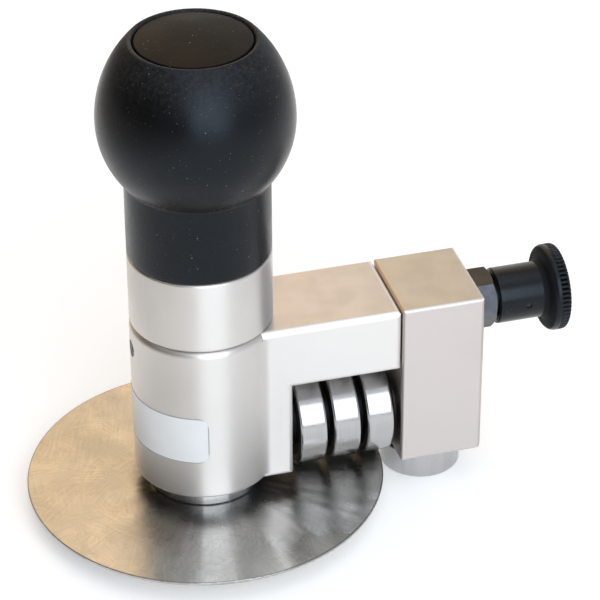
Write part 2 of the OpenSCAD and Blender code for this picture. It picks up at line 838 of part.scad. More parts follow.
// Guide of the plunger: thread in the block, hexagon and stem
module plunger_guide() {
    color("slategray")
        difference() {
            union() {
                on_x(guide_x0, plunger_z) cylinder(d = guide_d - 2 * seat_fit, h = stem_x1 - guide_x0);
                on_x(block_x1, plunger_z)
                    intersection() {
                        rotate(90 + hex_turn) cylinder(d = hex_af / cos(30), h = hex_l, $fn = hex_fn);
                        cylinder(r1 = hex_af / 2 + hex_l / tan(hex_chamfer), r2 = hex_af / 2, h = hex_l);
                    }
            }
            on_x(guide_x0 - margin, plunger_z) cylinder(d = pin_d + 2 * run_fit, h = stem_x1 - guide_x0);
            on_x(guide_stop_x, plunger_z) cylinder(d = spring_bore_d, h = stem_x1 - guide_stop_x + margin);
        }
}

module plunger_spring_seat() {
    color("gray")
        on_x(spring_seat_x, plunger_z)
            ring(spring_bore_d - 2 * seat_fit, rod_d + 2 * run_fit, spring_seat_l);
}

// Pin with its collar and the rod that the knob is fixed to
module plunger_pin() {
    nose = 0.6;
    color("silver") {
        on_x(pin_x0, plunger_z) cylinder(d1 = pin_d - 2 * nose, d2 = pin_d, h = nose);
        on_x(pin_x0 + nose, plunger_z) cylinder(d = pin_d, h = pin_collar_x + pin_collar_l - pin_x0 - nose);
        on_x(pin_collar_x, plunger_z) cylinder(d = pin_collar_d, h = pin_collar_l);
        difference() {
            on_x(pin_collar_x, plunger_z) cylinder(d = rod_d, h = rod_x1 - pin_collar_x);
            cross_pin_hole();
        }
    }
}

module cross_pin_hole() {
    on_y(cross_pin_x, -sleeve_d, plunger_z) cylinder(d = cross_pin_d + 2 * seat_fit, h = 2 * sleeve_d);
}

// Return spring round the rod: one tube along a helix
module plunger_spring() {
    sides = 6;
    rings_per_turn = 8;
    rings = rings_per_turn * spring_turns;
    lead = (spring_x1 - spring_x0 - spring_wire_d) / spring_turns;
    function turn(k) = 360 * spring_turns * k / rings;
    function spring_point(k, s) =
        let (
            a = turn(k),
            r = spring_r + spring_wire_d / 2 * cos(360 * s / sides),
            x = spring_x0 + spring_wire_d / 2 + lead * a / 360 + spring_wire_d / 2 * sin(360 * s / sides)
        )
        [x, r * cos(a), plunger_z + r * sin(a)];
    points = [for (k = [0 : rings], s = [0 : sides - 1]) spring_point(k, s)];
    skin = [
        for (k = [0 : rings - 1], s = [0 : sides - 1])
            let (a = k * sides + s, b = k * sides + (s + 1) % sides)
            each [[a, b, b + sides], [a, b + sides, a + sides]]
    ];
    start = [for (s = [1 : sides - 2]) [0, s + 1, s]];
    last = rings * sides;
    end = [for (s = [1 : sides - 2]) [last, last + s, last + s + 1]];
    echo(spring_gap = lead - spring_wire_d);
    color("silver") polyhedron(points, concat(skin, start, end));
}

// Knob: sleeve, flange with rounded edges and the blend between them
module plunger_knob() {
    flange_front_r = 2;
    flange_back_r = 1.4;
    sleeve_r = sleeve_d / 2;
    flange_z = sleeve_l + knob_blend_r;
    color("black")
        difference() {
            on_x(knob_x0, plunger_z)
                rotate_extrude() {
                    rim_section(0, sleeve_r, sleeve_l + flange_l - flange_back_r, fine_r, fine_r);
                    translate([0, flange_z])
                        rim_section(0, knob_d / 2, flange_l - knob_blend_r, flange_front_r, flange_back_r);
                    difference() {
                        translate([sleeve_r - margin, sleeve_l])
                            square([margin + knob_blend_r, knob_blend_r + margin]);
                        translate([sleeve_r + knob_blend_r, sleeve_l]) circle(r = knob_blend_r);
                    }
                }
            on_x(knob_x0 - margin, plunger_z)
                cylinder(d = knob_cavity_d, h = knob_cavity_x - knob_x0 + margin);
            on_x(knob_x0, plunger_z) cylinder(d = rod_d + 2 * seat_fit, h = rod_x1 - knob_x0);
            cross_pin_hole();
        }
}

module knob_cross_pin() {
    length = sleeve_d - 2 * cross_pin_sink;
    color("dimgray")
        on_y(cross_pin_x, -length / 2, plunger_z) cylinder(d = cross_pin_d, h = length);
}

// Washer that the collar turns on
module grip_washer() {
    color("dimgray")
        translate([0, 0, arm_z1])
            ring(grip_washer_d, post_d + 2 * washer_bore_clear, grip_washer_t - end_play);
}

// Collar with the core that carries the grip
module collar() {
    color("gainsboro")
        difference() {
            union() {
                translate([0, 0, collar_z0])
                    rotate_extrude() rim_section(0, collar_d / 2, collar_h, collar_low_r, collar_top_r);
                translate([0, 0, collar_z0]) cylinder(d = core_d - 2 * seat_fit, h = core_z1 - collar_z0);
            }
            translate([0, 0, collar_z0 - margin])
                cylinder(d = swivel_bush_od, h = core_z1 - collar_z0 + 2 * margin);
        }
}

module swivel_bush(z) {
    color("peru")
        translate([0, 0, z]) ring(swivel_bush_od - 2 * seat_fit, post_d + 2 * run_fit, swivel_bush_l);
}

module swivel_bush_lower() {
    swivel_bush(collar_z0);
}

module swivel_bush_upper() {
    swivel_bush(core_z1 - swivel_bush_l);
}

// Post that the grip turns on, screwed into the column
module handle_post() {
    color("silver") {
        translate([0, 0, arm_z1 - post_thread_l])
            cylinder(d = post_thread_d - 2 * seat_fit, h = post_thread_l + margin);
        translate([0, 0, arm_z1]) cylinder(d = post_d, h = post_shoulder_z - arm_z1);
        translate([0, 0, arm_z1]) cylinder(d = post_end_d, h = post_z1 - arm_z1);
    }
}

module post_set_screw() {
    tip = post_thread_d / 2;
    color("dimgray")
        on_minus_x(-tip, post_screw_z) set_screw(set_screw_d, body_d / 2 - set_screw_sink - tip);
}

module post_washer() {
    color("silver")
        translate([0, 0, post_shoulder_z]) ring(post_washer_d, post_end_d + 2 * seat_fit, post_washer_t);
}

module post_nut() {
    color("silver")
        translate([0, 0, post_nut_z])
            difference() {
                cylinder(d = post_nut_af / cos(30), h = post_nut_h, $fn = hex_fn);
                translate([0, 0, -margin])
                    cylinder(d = post_end_d + 2 * seat_fit, h = post_nut_h + 2 * margin);
            }
}

// Half section of the grip: neck, ball and a crown that rises to the rim
module grip_section() {
    translate([0, collar_z1]) rim_section(0, neck_d / 2, ball_rise, neck_r, neck_r);
    intersection() {
        translate([0, ball_z]) circle(r = ball_r);
        translate([0, ball_z - ball_r]) square([ball_r, ball_r]);
    }
    intersection() {
        translate([ball_r - crown_r, ball_z]) circle(r = crown_r);
        translate([0, ball_z]) square([ball_r, rim_rise]);
    }
}

// Soft grip with a seat for the cap and room for the post's nut
module handle_grip() {
    color("black")
        difference() {
            rotate_extrude() grip_section();
            translate([0, 0, collar_z1 - margin]) cylinder(d = core_d, h = core_z1 - collar_z1 + 2 * margin);
            translate([0, 0, core_z1]) cylinder(d = nut_room_d, h = rim_z - core_z1 + margin);
            translate([0, 0, rim_z - cap_t]) cylinder(r = rim_r - cap_seat_lip, h = cap_t + margin);
        }
}

// Domed cap pressed into the grip, with a groove round it
module handle_cap() {
    cap_z0 = rim_z - cap_t;
    cap_z1 = rim_z - cap_sink;
    color("black") {
        translate([0, 0, cap_z0])
            difference() {
                cylinder(r = cap_r, h = cap_z1 - cap_z0);
                translate([0, 0, -margin])
                    cylinder(r = cap_r * cap_hollow_ratio, h = margin + cap_hollow_depth);
            }
        translate([0, 0, cap_z1])
            rotate_extrude()
                intersection() {
                    translate([0, cap_dome - dome_r]) circle(r = dome_r, $fn = dome_fn);
                    square([cap_r, cap_dome]);
                }
        translate([0, 0, nut_room_z1])
            ring(nut_room_d - 2 * seat_fit, nut_room_d - 2 * cap_plug_wall, cap_z0 - nut_room_z1);
    }
}

base_disc();
spindle();
disc_screws();
main_body();
spindle_bush_lower();
spindle_bush_upper();
spindle_dog_screw();
roller_axle();
axle_set_screw();
axle_spacers();
axle_end_washer();
axle_end_screw();
inner_ring(0);  // roller_1_inner_ring
inner_ring(1);  // roller_2_inner_ring
inner_ring(2);  // roller_3_inner_ring
outer_ring(0);  // roller_1_outer_ring
outer_ring(1);  // roller_2_outer_ring
outer_ring(2);  // roller_3_outer_ring
seals(0);  // roller_1_seals
seals(1);  // roller_2_seals
seals(2);  // roller_3_seals
balls(0);  // roller_1_balls
balls(1);  // roller_2_balls
balls(2);  // roller_3_balls
cage(0);  // roller_1_cage
cage(1);  // roller_2_cage
cage(2);  // roller_3_cage
end_block();
block_bush();
index_bush();
edge_roller();
edge_roller_bush();
edge_roller_screw();
edge_washer();
plunger_guide();
plunger_spring_seat();
plunger_pin();
plunger_spring();
plunger_knob();
knob_cross_pin();
grip_washer();
collar();
swivel_bush_lower();
swivel_bush_upper();
handle_post();
post_set_screw();
post_washer();
post_nut();
handle_grip();
handle_cap();
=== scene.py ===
"""Looks of a hand edge bender for sheet metal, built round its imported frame.

All places are in metres in the frame's own axes: Z up the spindle, X along the arm.
Profiles are written in millimetres and scaled once, where a mesh is made.
"""

import math

import bpy
import numpy as np
from bpy.props import FloatProperty, FloatVectorProperty, IntProperty, PointerProperty
from mathutils import Matrix, Vector


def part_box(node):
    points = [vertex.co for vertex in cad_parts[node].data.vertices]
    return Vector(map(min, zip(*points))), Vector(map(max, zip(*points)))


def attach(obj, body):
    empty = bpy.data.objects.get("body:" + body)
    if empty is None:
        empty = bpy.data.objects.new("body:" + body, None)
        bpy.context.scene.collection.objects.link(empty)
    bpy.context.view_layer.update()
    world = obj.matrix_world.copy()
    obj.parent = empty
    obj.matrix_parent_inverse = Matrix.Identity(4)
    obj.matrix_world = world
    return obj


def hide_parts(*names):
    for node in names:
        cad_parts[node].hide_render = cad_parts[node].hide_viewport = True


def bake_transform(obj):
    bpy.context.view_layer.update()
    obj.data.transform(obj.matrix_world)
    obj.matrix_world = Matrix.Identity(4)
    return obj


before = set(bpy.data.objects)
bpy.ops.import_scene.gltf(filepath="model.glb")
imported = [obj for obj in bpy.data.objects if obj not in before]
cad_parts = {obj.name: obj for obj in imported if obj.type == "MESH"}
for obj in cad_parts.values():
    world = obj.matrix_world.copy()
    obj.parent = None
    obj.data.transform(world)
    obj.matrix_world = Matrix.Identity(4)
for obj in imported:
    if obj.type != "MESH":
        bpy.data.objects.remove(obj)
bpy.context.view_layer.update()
MM = 0.001
WHITE = (1.0, 1.0, 1.0)

bl_info = {
    "name": "Edge bender looks",
    "version": (1, 0, 0),
    "blender": (4, 5, 0),
    "location": "3D View > Sidebar > Bender",
    "description": "Finishes, knob, grip, label and stage of a hand edge bender",
    "category": "Object",
}


def node_edges(node):
    """Lowest and highest corner of a CAD node, in millimetres."""
    low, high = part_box(node)
    return np.array(low) / MM, np.array(high) / MM


GRIP_LOW, GRIP_HIGH = node_edges("handle_grip")
KNOB_LOW, KNOB_HIGH = node_edges("plunger_knob")
PIN_LOW, PIN_HIGH = node_edges("knob_cross_pin")
BODY_LOW, BODY_HIGH = node_edges("main_body")
CAP_HIGH = node_edges("handle_cap")[1]
BLOCK_HIGH = node_edges("end_block")[1]
DISC_HIGH = node_edges("base_disc")[1]
EDGE_LOW = node_edges("edge_roller")[0]


def srgb(red, green, blue):
    """Linear colour of an sRGB colour given in steps of 0 to 255."""
    steps = np.array([red, green, blue]) / 255.0
    linear = np.where(steps <= 0.04045, steps / 12.92, ((steps + 0.055) / 1.055) ** 2.4)
    return tuple(float(c) for c in linear)


def scaled(colour, factor):
    """Colour with each channel times one factor."""
    return tuple(c * factor for c in colour)


def tinted(colour, tint):
    """Colour times a tint, channel by channel."""
    return tuple(c * t for c, t in zip(colour, tint))


class GripLook(bpy.types.PropertyGroup):
    """Sizes and colours of the ball grip and its cap."""

    neck_radius: FloatProperty(
        name="Neck radius", description="Radius of the neck in millimetres", default=19.85
    )
    crease_radius: FloatProperty(
        name="Crease radius", description="Hollow radius between neck and ball in millimetres", default=1.2
    )
    rim_radius: FloatProperty(
        name="Rim radius", description="Inner radius of the rim round the cap in millimetres", default=16.1
    )
    ball_height: FloatProperty(
        name="Ball height", description="Height of the ball's middle above the collar in millimetres",
        default=40.6
    )
    colour: FloatVectorProperty(
        name="Colour", description="Colour of the soft grip", subtype="COLOR", size=3,
        default=(0.0035, 0.0032, 0.0034), min=0.0, max=1.0
    )
    speck_colour: FloatVectorProperty(
        name="Speck colour", description="Colour of the dust specks", subtype="COLOR", size=3,
        default=srgb(150, 150, 150), min=0.0, max=1.0
    )
    roughness: FloatProperty(
        name="Roughness", description="Mean roughness of the soft grip", subtype="FACTOR",
        default=0.28, min=0.0, max=1.0
    )


class KnobLook(bpy.types.PropertyGroup):
    """Sizes and colours of the plunger's knob, and its return spring."""

    sleeve_radius: FloatProperty(
        name="Sleeve radius", description="Radius of the knob's sleeve in millimetres", default=8.0
    )
    sleeve_length: FloatProperty(
        name="Sleeve length", description="Length of the knob's sleeve in millimetres", default=13.1
    )
    flutes: IntProperty(name="Flutes", description="Number of flutes round the knob", default=58, min=12)
    flute_depth: FloatProperty(
        name="Flute depth", description="Depth of the flutes in millimetres", default=0.6
    )
    colour: FloatVectorProperty(
        name="Colour", description="Colour of the moulded knob", subtype="COLOR", size=3,
        default=(0.0025, 0.0026, 0.003), min=0.0, max=1.0
    )
    spring_wire: FloatProperty(
        name="Spring wire", description="Diameter of the return spring's wire, in millimetres", default=0.8
    )
    spring_turns: IntProperty(name="Spring turns", description="Turns of the return spring", default=9)


class MetalLook(bpy.types.PropertyGroup):
    """Colours and roughness of the metal pieces."""

    aluminium: FloatVectorProperty(
        name="Aluminium", description="Colour of the machined aluminium", subtype="COLOR", size=3,
        default=(0.755, 0.735, 0.715), min=0.0, max=1.0
    )
    aluminium_roughness: FloatProperty(
        name="Aluminium roughness", description="Mean roughness of the aluminium", subtype="FACTOR",
        default=0.41, min=0.0, max=1.0
    )
    milled_roughness: FloatProperty(
        name="Milled roughness", description="Roughness of the milled top faces", subtype="FACTOR",
        default=0.35, min=0.0, max=1.0
    )
    disc: FloatVectorProperty(
        name="Disc steel", description="Colour of the sanded disc", subtype="COLOR", size=3,
        default=(0.53, 0.52, 0.50), min=0.0, max=1.0
    )
    bearing: FloatVectorProperty(
        name="Bearing steel", description="Colour of the polished bearing steel", subtype="COLOR", size=3,
        default=(0.51, 0.51, 0.515), min=0.0, max=1.0
    )
    blackened: FloatVectorProperty(
        name="Blackened steel", description="Colour of the blackened plunger steel", subtype="COLOR", size=3,
        default=(0.066, 0.07, 0.079), min=0.0, max=1.0
    )
    bronze: FloatVectorProperty(
        name="Bronze", description="Colour of the plain bearing bushes", subtype="COLOR", size=3,
        default=(0.55, 0.36, 0.18), min=0.0, max=1.0
    )


class LabelLook(bpy.types.PropertyGroup):
    """Place and colours of the plain label on the column."""

    start: FloatProperty(
        name="Start", description="Angle of the label's far end from the arm", subtype="ANGLE",
        default=math.radians(160)
    )
    end: FloatProperty(
        name="End", description="Angle of the label's near end from the arm", subtype="ANGLE",
        default=math.radians(260.5)
    )
    low: FloatProperty(name="Low edge", description="Height of the lower edge in millimetres", default=18.5)
    high: FloatProperty(name="High edge", description="Height of the upper edge in millimetres", default=33.5)
    corner: FloatProperty(name="Corner", description="Corner radius in millimetres", default=3.4)
    colour: FloatVectorProperty(
        name="Colour", description="Colour of the label's face", subtype="COLOR", size=3,
        default=srgb(240, 242, 243), min=0.0, max=1.0
    )
    outline: FloatVectorProperty(
        name="Outline", description="Colour of the line round the label", subtype="COLOR", size=3,
        default=srgb(70, 72, 82), min=0.0, max=1.0
    )


class StageLook(bpy.types.PropertyGroup):
    """Camera, floor and light."""

    azimuth: FloatProperty(
        name="Azimuth", description="Camera's turn about the upright axis", subtype="ANGLE",
        default=math.radians(-15.579)
    )
    elevation: FloatProperty(
        name="Elevation", description="Camera's height above the horizon", subtype="ANGLE",
        default=math.radians(33.039)
    )
    roll: FloatProperty(
        name="Roll", description="Camera's turn about its own axis", subtype="ANGLE",
        default=math.radians(-0.293)
    )
    distance: FloatProperty(
        name="Distance", description="Camera's distance from its target", unit="LENGTH", default=0.786698
    )
    target: FloatVectorProperty(
        name="Target", description="Point that the camera looks at", subtype="TRANSLATION", size=3,
        default=(0.028316, 0.0, 0.054349)
    )
    lens: FloatProperty(name="Lens", description="Focal length on a 36 mm sensor", default=169.844)
    floor: FloatVectorProperty(
        name="Floor", description="Colour of the floor", subtype="COLOR", size=3,
        default=(0.86, 0.87, 0.88), min=0.0, max=1.0
    )
    floor_lift: FloatProperty(
        name="Floor lift", description="Glow that brings the floor near the object to white", default=0.3
    )


def arc(centre_r, centre_h, radius, start, end, count):
    """Points on a circle about (centre_r, centre_h), from angle start to angle end in degrees."""
    turn = np.radians(np.linspace(start, end, count))
    return np.column_stack([centre_r + radius * np.cos(turn), centre_h + radius * np.sin(turn)])


def line(start, end, count):
    """Points on a straight line from start to end."""
    share = np.linspace(0.0, 1.0, count)[:, None]
    return np.array(start) * (1 - share) + np.array(end) * share


def joined(*pieces):
    """One profile from several runs of points, with repeated points left out."""
    points = np.vstack(pieces)
    step = np.linalg.norm(np.diff(points, axis=0), axis=1)
    return points[np.concatenate([[True], step > 1e-6])]


def new_mesh(name, vertices, quads, triangles, smooth_angle):
    """Mesh object at the origin from whole arrays of vertices in millimetres and face corners."""
    mesh = bpy.data.meshes.new(name)
    corners = np.concatenate([quads.ravel(), triangles.ravel()]).astype(np.int32)
    sizes = np.concatenate([np.full(len(quads), 4), np.full(len(triangles), 3)])
    starts = np.concatenate([[0], np.cumsum(sizes)[:-1]]).astype(np.int32)
    mesh.vertices.add(len(vertices))
    mesh.vertices.foreach_set("co", (vertices * MM).astype(np.float32).ravel())
    mesh.loops.add(len(corners))
    mesh.loops.foreach_set("vertex_index", corners)
    mesh.polygons.add(len(sizes))
    mesh.polygons.foreach_set("loop_start", starts)
    mesh.update(calc_edges=True)
    mesh.validate()
    mesh.polygons.foreach_set("use_smooth", np.ones(len(mesh.polygons), dtype=bool))
    mesh.set_sharp_from_angle(angle=math.radians(smooth_angle))
    piece = bpy.data.objects.new(name, mesh)
    bpy.context.scene.collection.objects.link(piece)
    return piece


def strip_quads(rows, columns, close_rows):
    """Corners of the quads between rows of a grid whose columns close into rings."""
    row = np.arange(rows if close_rows else rows - 1)[:, None]
    column = np.arange(columns)[None, :]
    after = (row + 1) % rows
    beside = (column + 1) % columns
    here, there = row * columns, after * columns
    corners = [here + column, here + beside, there + beside, there + column]
    return np.stack([np.broadcast_to(c, (row.shape[0], columns)) for c in corners], axis=-1).reshape(-1, 4)


def with_fans(rings, ends):
    """Vertices, quads and triangles of a grid of closed rings, with a fan from each end point to its ring."""
    rows, columns = rings.shape[:2]
    here = np.arange(columns)
    beside = (here + 1) % columns
    first, last = rows * columns, (rows - 1) * columns
    low_fan = np.column_stack([np.full(columns, first), beside, here])
    high_fan = np.column_stack([np.full(columns, first + 1), last + here, last + beside])
    points = np.vstack([rings.reshape(-1, 3), ends])
    return points, strip_quads(rows, columns, False), np.vstack([low_fan, high_fan])


def turned(name, profile, steps, along_x=None, ripple=None, closed=False, smooth_angle=35):
    """Surface of revolution: (r, h) at angle a goes to (r cos a, r sin a, h).

    A closed profile makes a ring. An open one starts and ends on the axis, where fans close it.
    With along_x, the axis is the line along X at that (y, z). Ripple is taken from r.
    """
    angle = 2 * np.pi * np.arange(steps) / steps
    rings = profile if closed else profile[1:-1]
    radius = np.repeat(rings[:, :1], steps, axis=1)
    if ripple is not None:
        radius = radius - (ripple if closed else ripple[1:-1])
    height = np.repeat(rings[:, 1:], steps, axis=1)
    grid = np.stack([radius * np.cos(angle), radius * np.sin(angle), height], axis=-1)
    if closed:
        points, quads = grid.reshape(-1, 3), strip_quads(len(rings), steps, True)
        triangles = np.zeros((0, 3), dtype=int)
    else:
        ends = np.array([[0.0, 0.0, profile[0, 1]], [0.0, 0.0, profile[-1, 1]]])
        points, quads, triangles = with_fans(grid, ends)
    if along_x is not None:
        points = points[:, [2, 0, 1]] + np.array([0.0, along_x[0], along_x[1]])
    return new_mesh(name, points, quads, triangles, smooth_angle)


def coiled(name, low, high, wire, turns):
    """Round wire on a helix about an X axis, filling the space between two corners.

    At turn t and wire angle s, x is start + lead t - w sin s, and the distance from the axis, at the angle t,
    is R + w cos s, with w half the wire and R the radius of the helix. Fans close the ends.
    """
    half, sides, rings_each = wire / 2, 12, 40
    radius = (high[2] - low[2]) / 2 - half
    lead = (high[0] - low[0] - wire) / turns
    turn = np.linspace(0.0, turns, turns * rings_each + 1)[:, None]
    side = (2 * np.pi * np.arange(sides) / sides)[None, :]
    angle = 2 * np.pi * turn

    def wire_points(share):
        x = low[0] + half + lead * turn - share * half * np.sin(side)
        out = radius + share * half * np.cos(side)
        y = (low[1] + high[1]) / 2 + out * np.cos(angle)
        return np.stack([x, y, (low[2] + high[2]) / 2 + out * np.sin(angle)], axis=-1)

    ends = wire_points(0.0)[[0, -1], 0]
    return new_mesh(name, *with_fans(wire_points(1.0), ends), 40)


def put_in(tree, socket, value):
    """Links an output into a socket, or sets the socket to a plain value."""
    if isinstance(value, bpy.types.NodeSocket):
        tree.links.new(value, socket)
    else:
        socket.default_value = value


def add_node(tree, kind, inputs=None, **settings):
    """New shader node with its settings, its inputs set to values or linked to sockets."""
    made = tree.nodes.new(kind)
    for key, value in settings.items():
        setattr(made, key, value)
    for key, value in (inputs or {}).items():
        put_in(tree, made.inputs[key], value)
    return made


def calc(tree, operation, first, second=0.0, clamp=False):
    """Result of a Math node."""
    made = add_node(tree, "ShaderNodeMath", {0: first, 1: second}, operation=operation, use_clamp=clamp)
    return made.outputs[0]


def times(tree, first, second):
    """Product of two values."""
    return calc(tree, "MULTIPLY", first, second)


def vector_calc(tree, operation, *values):
    """Result of a Vector Math node: a number from a length, distance or dot product, otherwise a vector."""
    made = add_node(tree, "ShaderNodeVectorMath", dict(enumerate(values)), operation=operation)
    number = operation in ("LENGTH", "DISTANCE", "DOT_PRODUCT")
    return made.outputs["Value" if number else "Vector"]


def noise(tree, place, scale, detail):
    """Noise texture, as a node."""
    return add_node(tree, "ShaderNodeTexNoise", {"Vector": place, "Scale": scale, "Detail": detail})


def spread(tree, value, low, high, to_low=0.0, to_high=1.0):
    """Value carried from the range low to high into the range to_low to to_high, with soft ends."""
    inputs = {"Value": value, "From Min": low, "From Max": high, "To Min": to_low, "To Max": to_high}
    made = add_node(tree, "ShaderNodeMapRange", inputs, interpolation_type="SMOOTHSTEP")
    return made.outputs["Result"]


def mixed(tree, share, first, second):
    """Two colours mixed by a share."""
    made = add_node(tree, "ShaderNodeMix", data_type="RGBA")
    put_in(tree, made.inputs[0], share)
    for index, colour in ((6, first), (7, second)):
        linked = isinstance(colour, bpy.types.NodeSocket)
        put_in(tree, made.inputs[index], colour if linked else (*colour, 1.0))
    return made.outputs[2]


def new_group(name, output, **values):
    """Node group with a Vector input, an input for each value and one output: its tree and end sockets."""
    tree = bpy.data.node_groups.new(name, "ShaderNodeTree")
    sockets = tree.interface
    sockets.new_socket("Vector", in_out="INPUT", socket_type="NodeSocketVector")
    for label, value in values.items():
        kind = "NodeSocketVector" if isinstance(value, tuple) else "NodeSocketFloat"
        sockets.new_socket(label.title(), in_out="INPUT", socket_type=kind).default_value = value
    sockets.new_socket(output, in_out="OUTPUT", socket_type="NodeSocketFloat")
    return tree, tree.nodes.new("NodeGroupInput").outputs, tree.nodes.new("NodeGroupOutput").inputs[output]


def dust_specks():
    """Group: small round specks in some of the cells of a Voronoi pattern."""
    tree, given, mask = new_group("dust specks", "Mask", scale=400.0, share=0.3, size=0.3)
    cells = add_node(tree, "ShaderNodeTexVoronoi", {"Vector": given["Vector"], "Scale": given["Scale"]})
    chance = add_node(tree, "ShaderNodeSeparateColor", {0: cells.outputs["Color"]})
    reach = times(tree, chance.outputs[0], given["Size"])
    core = times(tree, reach, 0.5)
    spot = spread(tree, cells.outputs["Distance"], reach, core)
    picked = calc(tree, "LESS_THAN", chance.outputs[1], given["Share"])
    tree.links.new(times(tree, spot, picked), mask)
    return tree


def fine_streaks():
    """Group: noise drawn out by a stretch for each axis, as brushing and grinding leave."""
    tree, given, value = new_group("fine streaks", "Value", stretch=(1.0, 1.0, 1.0), scale=400.0)
    drawn = vector_calc(tree, "MULTIPLY", given["Vector"], given["Stretch"])
    streaks = noise(tree, drawn, given["Scale"], 4.0)
    tree.links.new(spread(tree, streaks.outputs["Fac"], 0.3, 0.7), value)
    return tree


def hair_scratches():
    """Group: short hair-thin scratches in two directions, thinned out by a coarse noise."""
    tree, given, mask = new_group("hair scratches", "Mask", scale=60.0)
    patches = noise(tree, given["Vector"], given["Scale"], 1.0)
    narrowing = (1.0, 14.0, 14.0)
    both = None
    for turn in ((0.4, 0.2, 0.7), (-0.5, 0.9, -0.4)):
        inputs = {"Vector": given["Vector"], "Rotation": turn, "Scale": narrowing}
        tilted = add_node(tree, "ShaderNodeMapping", inputs)
        lines = noise(tree, tilted.outputs[0], given["Scale"], 2.0)
        away = calc(tree, "ABSOLUTE", calc(tree, "SUBTRACT", lines.outputs["Fac"], 0.5))
        thin = spread(tree, away, 0.012, 0.003)
        both = thin if both is None else calc(tree, "MAXIMUM", both, thin)
    where = spread(tree, patches.outputs["Fac"], 0.56, 0.66)
    tree.links.new(times(tree, both, where), mask)
    return tree


def soft_blotches():
    """Group: slow cloudy change over a surface."""
    tree, given, value = new_group("soft blotches", "Value", scale=30.0)
    clouds = noise(tree, given["Vector"], given["Scale"], 3.0)
    tree.links.new(spread(tree, clouds.outputs["Fac"], 0.3, 0.7), value)
    return tree


def sanding_strokes():
    """Group: fine straight strokes whose direction and tone change from patch to patch, in three layers."""
    tree, given, value = new_group("sanding strokes", "Value", scale=90.0)
    layers = (((0.0, 0.0, 0.0), 0.6), ((0.13, 0.31, 0.0), 1.0), ((0.41, 0.05, 0.0), 1.6))
    wander = (0.006, 0.006, 0.0)
    fineness = (110.0, 1300.0, 0.0)
    total = None
    for shift, factor in layers:
        moved = vector_calc(tree, "ADD", given["Vector"], shift)
        scale = times(tree, given["Scale"], factor)
        wavy = noise(tree, moved, scale, 3.0)
        bent = vector_calc(tree, "MULTIPLY_ADD", wavy.outputs["Color"], wander, moved)
        cells = add_node(
            tree, "ShaderNodeTexVoronoi", {"Vector": bent, "Scale": scale, "Smoothness": 0.5},
            voronoi_dimensions="2D", feature="SMOOTH_F1"
        )
        chance = add_node(tree, "ShaderNodeSeparateColor", {0: cells.outputs["Color"]}).outputs
        angle = times(tree, chance[0], 2 * math.pi)
        inputs = {"Vector": moved, "Center": cells.outputs["Position"], "Angle": angle}
        spun = add_node(tree, "ShaderNodeVectorRotate", inputs, rotation_type="Z_AXIS")
        drawn = vector_calc(tree, "MULTIPLY", spun.outputs[0], fineness)
        stroke = times(tree, noise(tree, drawn, 1.0, 3.0).outputs["Fac"], 1.4)
        layer = calc(tree, "ADD", stroke, times(tree, chance[1], 0.4))
        total = layer if total is None else calc(tree, "ADD", total, layer)
    tree.links.new(spread(tree, total, 1.95, 3.45), value)
    return tree


def spun_rays():
    """Group: the distance from the Z axis times a noise of the direction from it, which makes rays."""
    tree, given, value = new_group("spun rays", "Value", scale=4.0)
    flat = vector_calc(tree, "MULTIPLY", given["Vector"], (1.0, 1.0, 0.0))
    rays = noise(tree, vector_calc(tree, "NORMALIZE", flat), given["Scale"], 1.0)
    tree.links.new(times(tree, rays.outputs["Fac"], vector_calc(tree, "LENGTH", flat)), value)
    return tree


class Finish:
    """A material under construction: its tree, its Object coordinates and its Principled shader.

    Plain values are named after the shader's sockets. Each shared effect is built once and kept in groups.
    """

    groups = {}

    def __init__(self, name, **values):
        self.material = bpy.data.materials.new(name)
        self.material.use_nodes = True
        self.tree = self.material.node_tree
        self.tree.nodes.clear()
        self.place = self.tree.nodes.new("ShaderNodeTexCoord").outputs["Object"]
        self.shader = self.tree.nodes.new("ShaderNodeBsdfPrincipled")
        output = self.tree.nodes.new("ShaderNodeOutputMaterial")
        self.tree.links.new(self.shader.outputs[0], output.inputs[0])
        for key, value in values.items():
            socket = self.shader.inputs[key.replace("_", " ").title().replace("Ior", "IOR")]
            socket.default_value = (*value, 1.0) if isinstance(value, tuple) else value

    def effect(self, maker, **values):
        """Output of a shared effect placed in this material with its own values."""
        if maker not in Finish.groups:
            Finish.groups[maker] = maker()
        made = self.tree.nodes.new("ShaderNodeGroup")
        made.node_tree = Finish.groups[maker]
        self.tree.links.new(self.place, made.inputs["Vector"])
        for key, value in values.items():
            put_in(self.tree, made.inputs[key.title()], value)
        return made.outputs[0]

    def coordinate(self, axis):
        """One of the Object coordinates: X, Y or Z."""
        return add_node(self.tree, "ShaderNodeSeparateXYZ", {0: self.place}).outputs[axis]

    def feed(self, socket, value):
        """Links a value into the shader."""
        self.tree.links.new(value, self.shader.inputs[socket])

    def draw_out(self, direction):
        """Draws reflections out along a direction that is given in Object coordinates."""
        made = add_node(
            self.tree, "ShaderNodeVectorTransform", {0: direction},
            vector_type="VECTOR", convert_from="OBJECT", convert_to="WORLD"
        )
        self.feed("Tangent", made.outputs[0])

    def relief(self, height, depth):
        """Bump from a height in 0 to 1 that is depth metres deep."""
        made = add_node(self.tree, "ShaderNodeBump", {"Height": height, "Distance": depth, "Strength": 1.0})
        self.feed("Normal", made.outputs[0])


